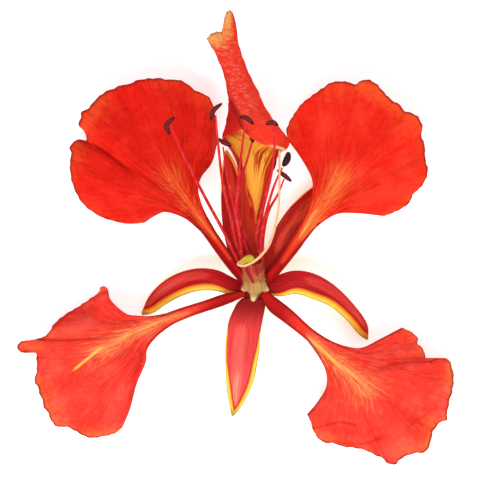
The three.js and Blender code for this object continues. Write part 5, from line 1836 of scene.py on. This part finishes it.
@dataclass
class FlowerHeart:
    """Middle of the flower: calyx cup with its stalk stub, pale stamen foot, ovary and style.

    A cup station holds y, z and the radius. A foot station holds x, y, z, the lean in degrees, the half-width
    and the half-depth. The foot flares at crown_at of its length into a crown of points between the petals'
    claws; each has its angle and how far it stands out. Real wool is too fine to show, so there are fewer and
    thicker hairs: hair_length and hair_radius are in millimetres.
    """

    cup: tuple[tuple[float, float, float], ...] = (
        (0, 0, 1.6), (1.0, 1.8, 1.5), (2.7, 3.8, 1.75), (4.4, 5.4, 2.6), (5.8, 7.0, 3.3), (6.4, 8.6, 3.4))
    foot: tuple[tuple[float, ...], ...] = (
        (0, 6.9, 8.9, 0, 1.15, 1.1), (0, 6.9, 10.2, 8, 1.7, 1.6), (0, 7.1, 11.6, 22, 2.7, 2.5),
        (-0.25, 8.5, 13.1, 36, 2.7, 2.7), (-0.5, 10.4, 14.6, 45, 2.5, 2.6))
    crown: tuple[tuple[float, float], ...] = (
        (346.0, 0.9), (64.0, 0.4), (116.0, 0.4), (194.0, 0.85), (263.0, 1.5))
    crown_at: float = 0.46
    crown_length: float = 0.17
    crown_spread: float = 17.0
    crown_dip: float = 0.55
    foot_ridges: int = 14
    foot_ridge: float = 0.06
    ovary: tuple[Point3, ...] = (
        (-0.4, 10.9, 15.1), (-0.8, 12.6, 17.2), (-1.3, 14.2, 19.1), (-3.5, 13.2, 20.6))
    ovary_radius: float = 0.92
    style: tuple[Point3, ...] = (
        (-3.3, 13.4, 20.6), (-4.2, 13.0, 21.2), (-4.1, 12.6, 21.8), (-2.9, 12.35, 22.3), (-1.3, 12.9, 22.9),
        (0.3, 13.85, 23.6), (1.9, 15.4, 24.3), (3.2, 17.1, 25.0), (4.3, 19.8, 25.8), (5.7, 26.0, 27.0),
        (6.0, 33.5, 27.4), (6.0, 40.9, 26.8))
    style_radii: tuple[float, ...] = (0.34, 0.33, 0.3, 0.28, 0.26, 0.24)
    hairs: int = 420
    hair_length: float = 0.5
    hair_radius: float = 0.03
    sides: int = 60
    foot_sides: int = 120
    stations: int = 40

    def _foot(self, shares: Array, turns: Array) -> MeshParts:
        """Makes the stamen foot with its crown of points.

        Args:
            shares: Places along the foot, 0 to 1.
            turns: Angles round it.

        Returns:
            Parts of the closed mesh.
        """
        side, y, z, lean, wide, deep = (along([row[k] for row in self.foot], shares) for k in range(6))
        tilt = np.radians(lean)
        flare = np.exp(-(((shares - self.crown_at) / self.crown_length) ** 2))
        apart = [np.abs((np.degrees(turns) - angle + 180) % 360 - 180) for angle, _ in self.crown]
        points = [np.exp(-((gap / self.crown_spread) ** 2)) for gap in apart]
        point = np.max(points, axis=0)
        out = np.max([far * near for (_, far), near in zip(self.crown, points)], axis=0)
        reach = flare[:, None] * (out - self.crown_dip * (1 - point))[None]
        ridged = smoothstep(shares, 0.6, 0.8)[:, None]
        reach += self.foot_ridge * np.cos(self.foot_ridges * turns)[None] * ridged
        x = side[:, None] + (wide[:, None] + reach) * np.cos(turns)[None]
        depth = (deep[:, None] + reach) * np.sin(turns)[None]
        rings = np.stack([x, y[:, None] + depth * np.cos(tilt)[:, None],
                          z[:, None] - depth * np.sin(tilt)[:, None]], axis=-1)
        marks = {"crown": flare[:, None] * point[None], "low": flare[:, None] * (1 - point[None])}
        return lofted(rings, {**marks, **run_marks(rings[..., :2])})

    def _cup(self, shares: Array, turns: Array) -> MeshParts:
        """Makes the calyx cup with its stalk stub.

        Args:
            shares: Places from the cut to the rim, 0 to 1.
            turns: Angles round it.

        Returns:
            Parts of the closed mesh.
        """
        y, z, radius = (along([row[k] for row in self.cup], shares) for k in range(3))
        middles = np.stack([np.zeros_like(y), y, z], axis=-1)
        right, up = np.eye(3)[:1], np.eye(3)[1:2]
        rings = rings_round(middles, radius[:, None], turns, right, up)
        inside = np.repeat(smoothstep(shares, 0.93, 1.0)[:, None], len(turns), axis=1)
        return lofted(rings, {"inside": inside})

    def _ovary(self, shares: Array, turns: Array) -> MeshParts:
        """Makes the ovary, narrower at both ends.

        Args:
            shares: Places along it, 0 to 1.
            turns: Angles round it.

        Returns:
            Parts of the closed mesh.
        """
        centres = PlanCurve(self.ovary).at(shares)
        _, first, second = steady_frames(centres)
        wide = self.ovary_radius * (0.5 + 0.5 * np.sin(np.pi * shares) ** 0.6)
        return lofted(rings_round(centres, wide[:, None], turns, first, second))

    def build(self) -> None:
        """Makes the cup, the foot with its wool, the ovary and the style."""
        turns, fine_turns = (np.linspace(0, 2 * np.pi, count, endpoint=False)
                             for count in (self.sides, self.foot_sides))
        shares = np.linspace(0, 1, self.stations)
        cup = make_piece("flower_calyx_cup", self._cup(shares, turns), CUP_SKIN)
        seat(cup, "calyx_green", "calyx_cup")
        foot = make_piece("flower_stamen_foot", self._foot(shares, fine_turns), FOOT_SKIN)
        seat(foot, "stamen_base_cream", "stamen_base")
        tree = scatter_tree("stamen foot wool", WOOL_SKIN, Scatter.HAIRS)
        wool = run_tree(linked_copy(foot), tree, "flower_foot_wool", Count=self.hairs,
                        Length=self.hair_length * MM, Radius=self.hair_radius * MM, Seed=4)
        seat(wool, "stamen_base_cream")
        seat(make_piece("flower_ovary", self._ovary(shares, turns), OVARY_SKIN), "ovary_green", "ovary")
        curve = thread_curve("style_course", self.style, self.style_radii)
        style = run_tree(curve, thread_tree("style sweep", STYLE_SKIN), "flower_style")
        seat(style, "style_salmon", "style")


# Floor, light and camera

@dataclass
class Studio:
    """Pale floor, soft light from above, and the camera straight over the flower.

    The frame and the camera's heights are in millimetres; the floor, the lamps' places and sizes and the aim
    are in metres, and their power is in watts.
    """

    frame_centre: Point2 = (-3.75, 17.875)
    frame_height: float = 121.75
    sensor: float = 36.0
    reference_height: float = 12.0
    camera_height: float = 1400.0
    floor_size: float = 6.0
    room_light: float = 0.55
    lamps: tuple[tuple[str, Point3, float, float], ...] = (
        ("key", (-0.25, -0.95, 1.3), 0.8, 20.0), ("fill", (0.5, 1.0, 1.5), 1.4, 9.0))
    aim: Point3 = (0.0, 0.018, 0.0)

    def floor(self) -> None:
        """Lays the plain pale floor."""
        half = self.floor_size / 2
        corners = [(-half, -half, 0.0), (half, -half, 0.0), (half, half, 0.0), (-half, half, 0.0)]
        mesh = bpy.data.meshes.new("floor")
        mesh.from_pydata(corners, [], [(0, 1, 2, 3)])
        mesh.materials.append(made(FLOOR_SKIN))
        placed("floor", mesh)

    def lights(self) -> None:
        """Hangs the soft lamps and sets the even light of the room."""
        world = bpy.data.worlds.new("soft room")
        bpy.context.scene.world = world
        world.use_nodes = True
        background = world.node_tree.nodes["Background"]
        background.inputs["Color"].default_value = (1.0, 1.0, 1.0, 1.0)
        background.inputs["Strength"].default_value = self.room_light
        for name, place, size, power in self.lamps:
            data = bpy.data.lights.new(name, "AREA")
            data.size = size
            data.energy = power
            lamp = placed(name, data)
            lamp.location = place
            lamp.rotation_euler = (Vector(self.aim) - Vector(place)).to_track_quat("-Z", "Y").to_euler()

    def camera(self) -> None:
        """Hangs the camera straight over the flower and makes it the scene's."""
        data = bpy.data.cameras.new("camera")
        data.sensor_width = self.sensor
        data.lens = self.sensor * self.camera_height / self.frame_height
        data.clip_start = 0.05
        data.clip_end = 20.0
        camera = placed("camera", data)
        x, y = self.frame_centre
        camera.location = (x * MM, y * MM, (self.reference_height + self.camera_height) * MM)
        bpy.context.scene.camera = camera

    def build(self) -> None:
        """Sets floor, lights, camera and a plain view of the colours."""
        self.camera()
        self.floor()
        self.lights()
        bpy.context.scene.view_settings.view_transform = "Standard"


def main() -> None:
    """Builds the flower part by part and logs each piece."""
    logging.basicConfig(level=logging.INFO, format="%(name)s %(message)s")
    for part in (Studio(), *PETALS, *SEPALS, StandardPetal(), StamenCluster(), FlowerHeart()):
        part.build()


if __name__ == "__main__":
    main()
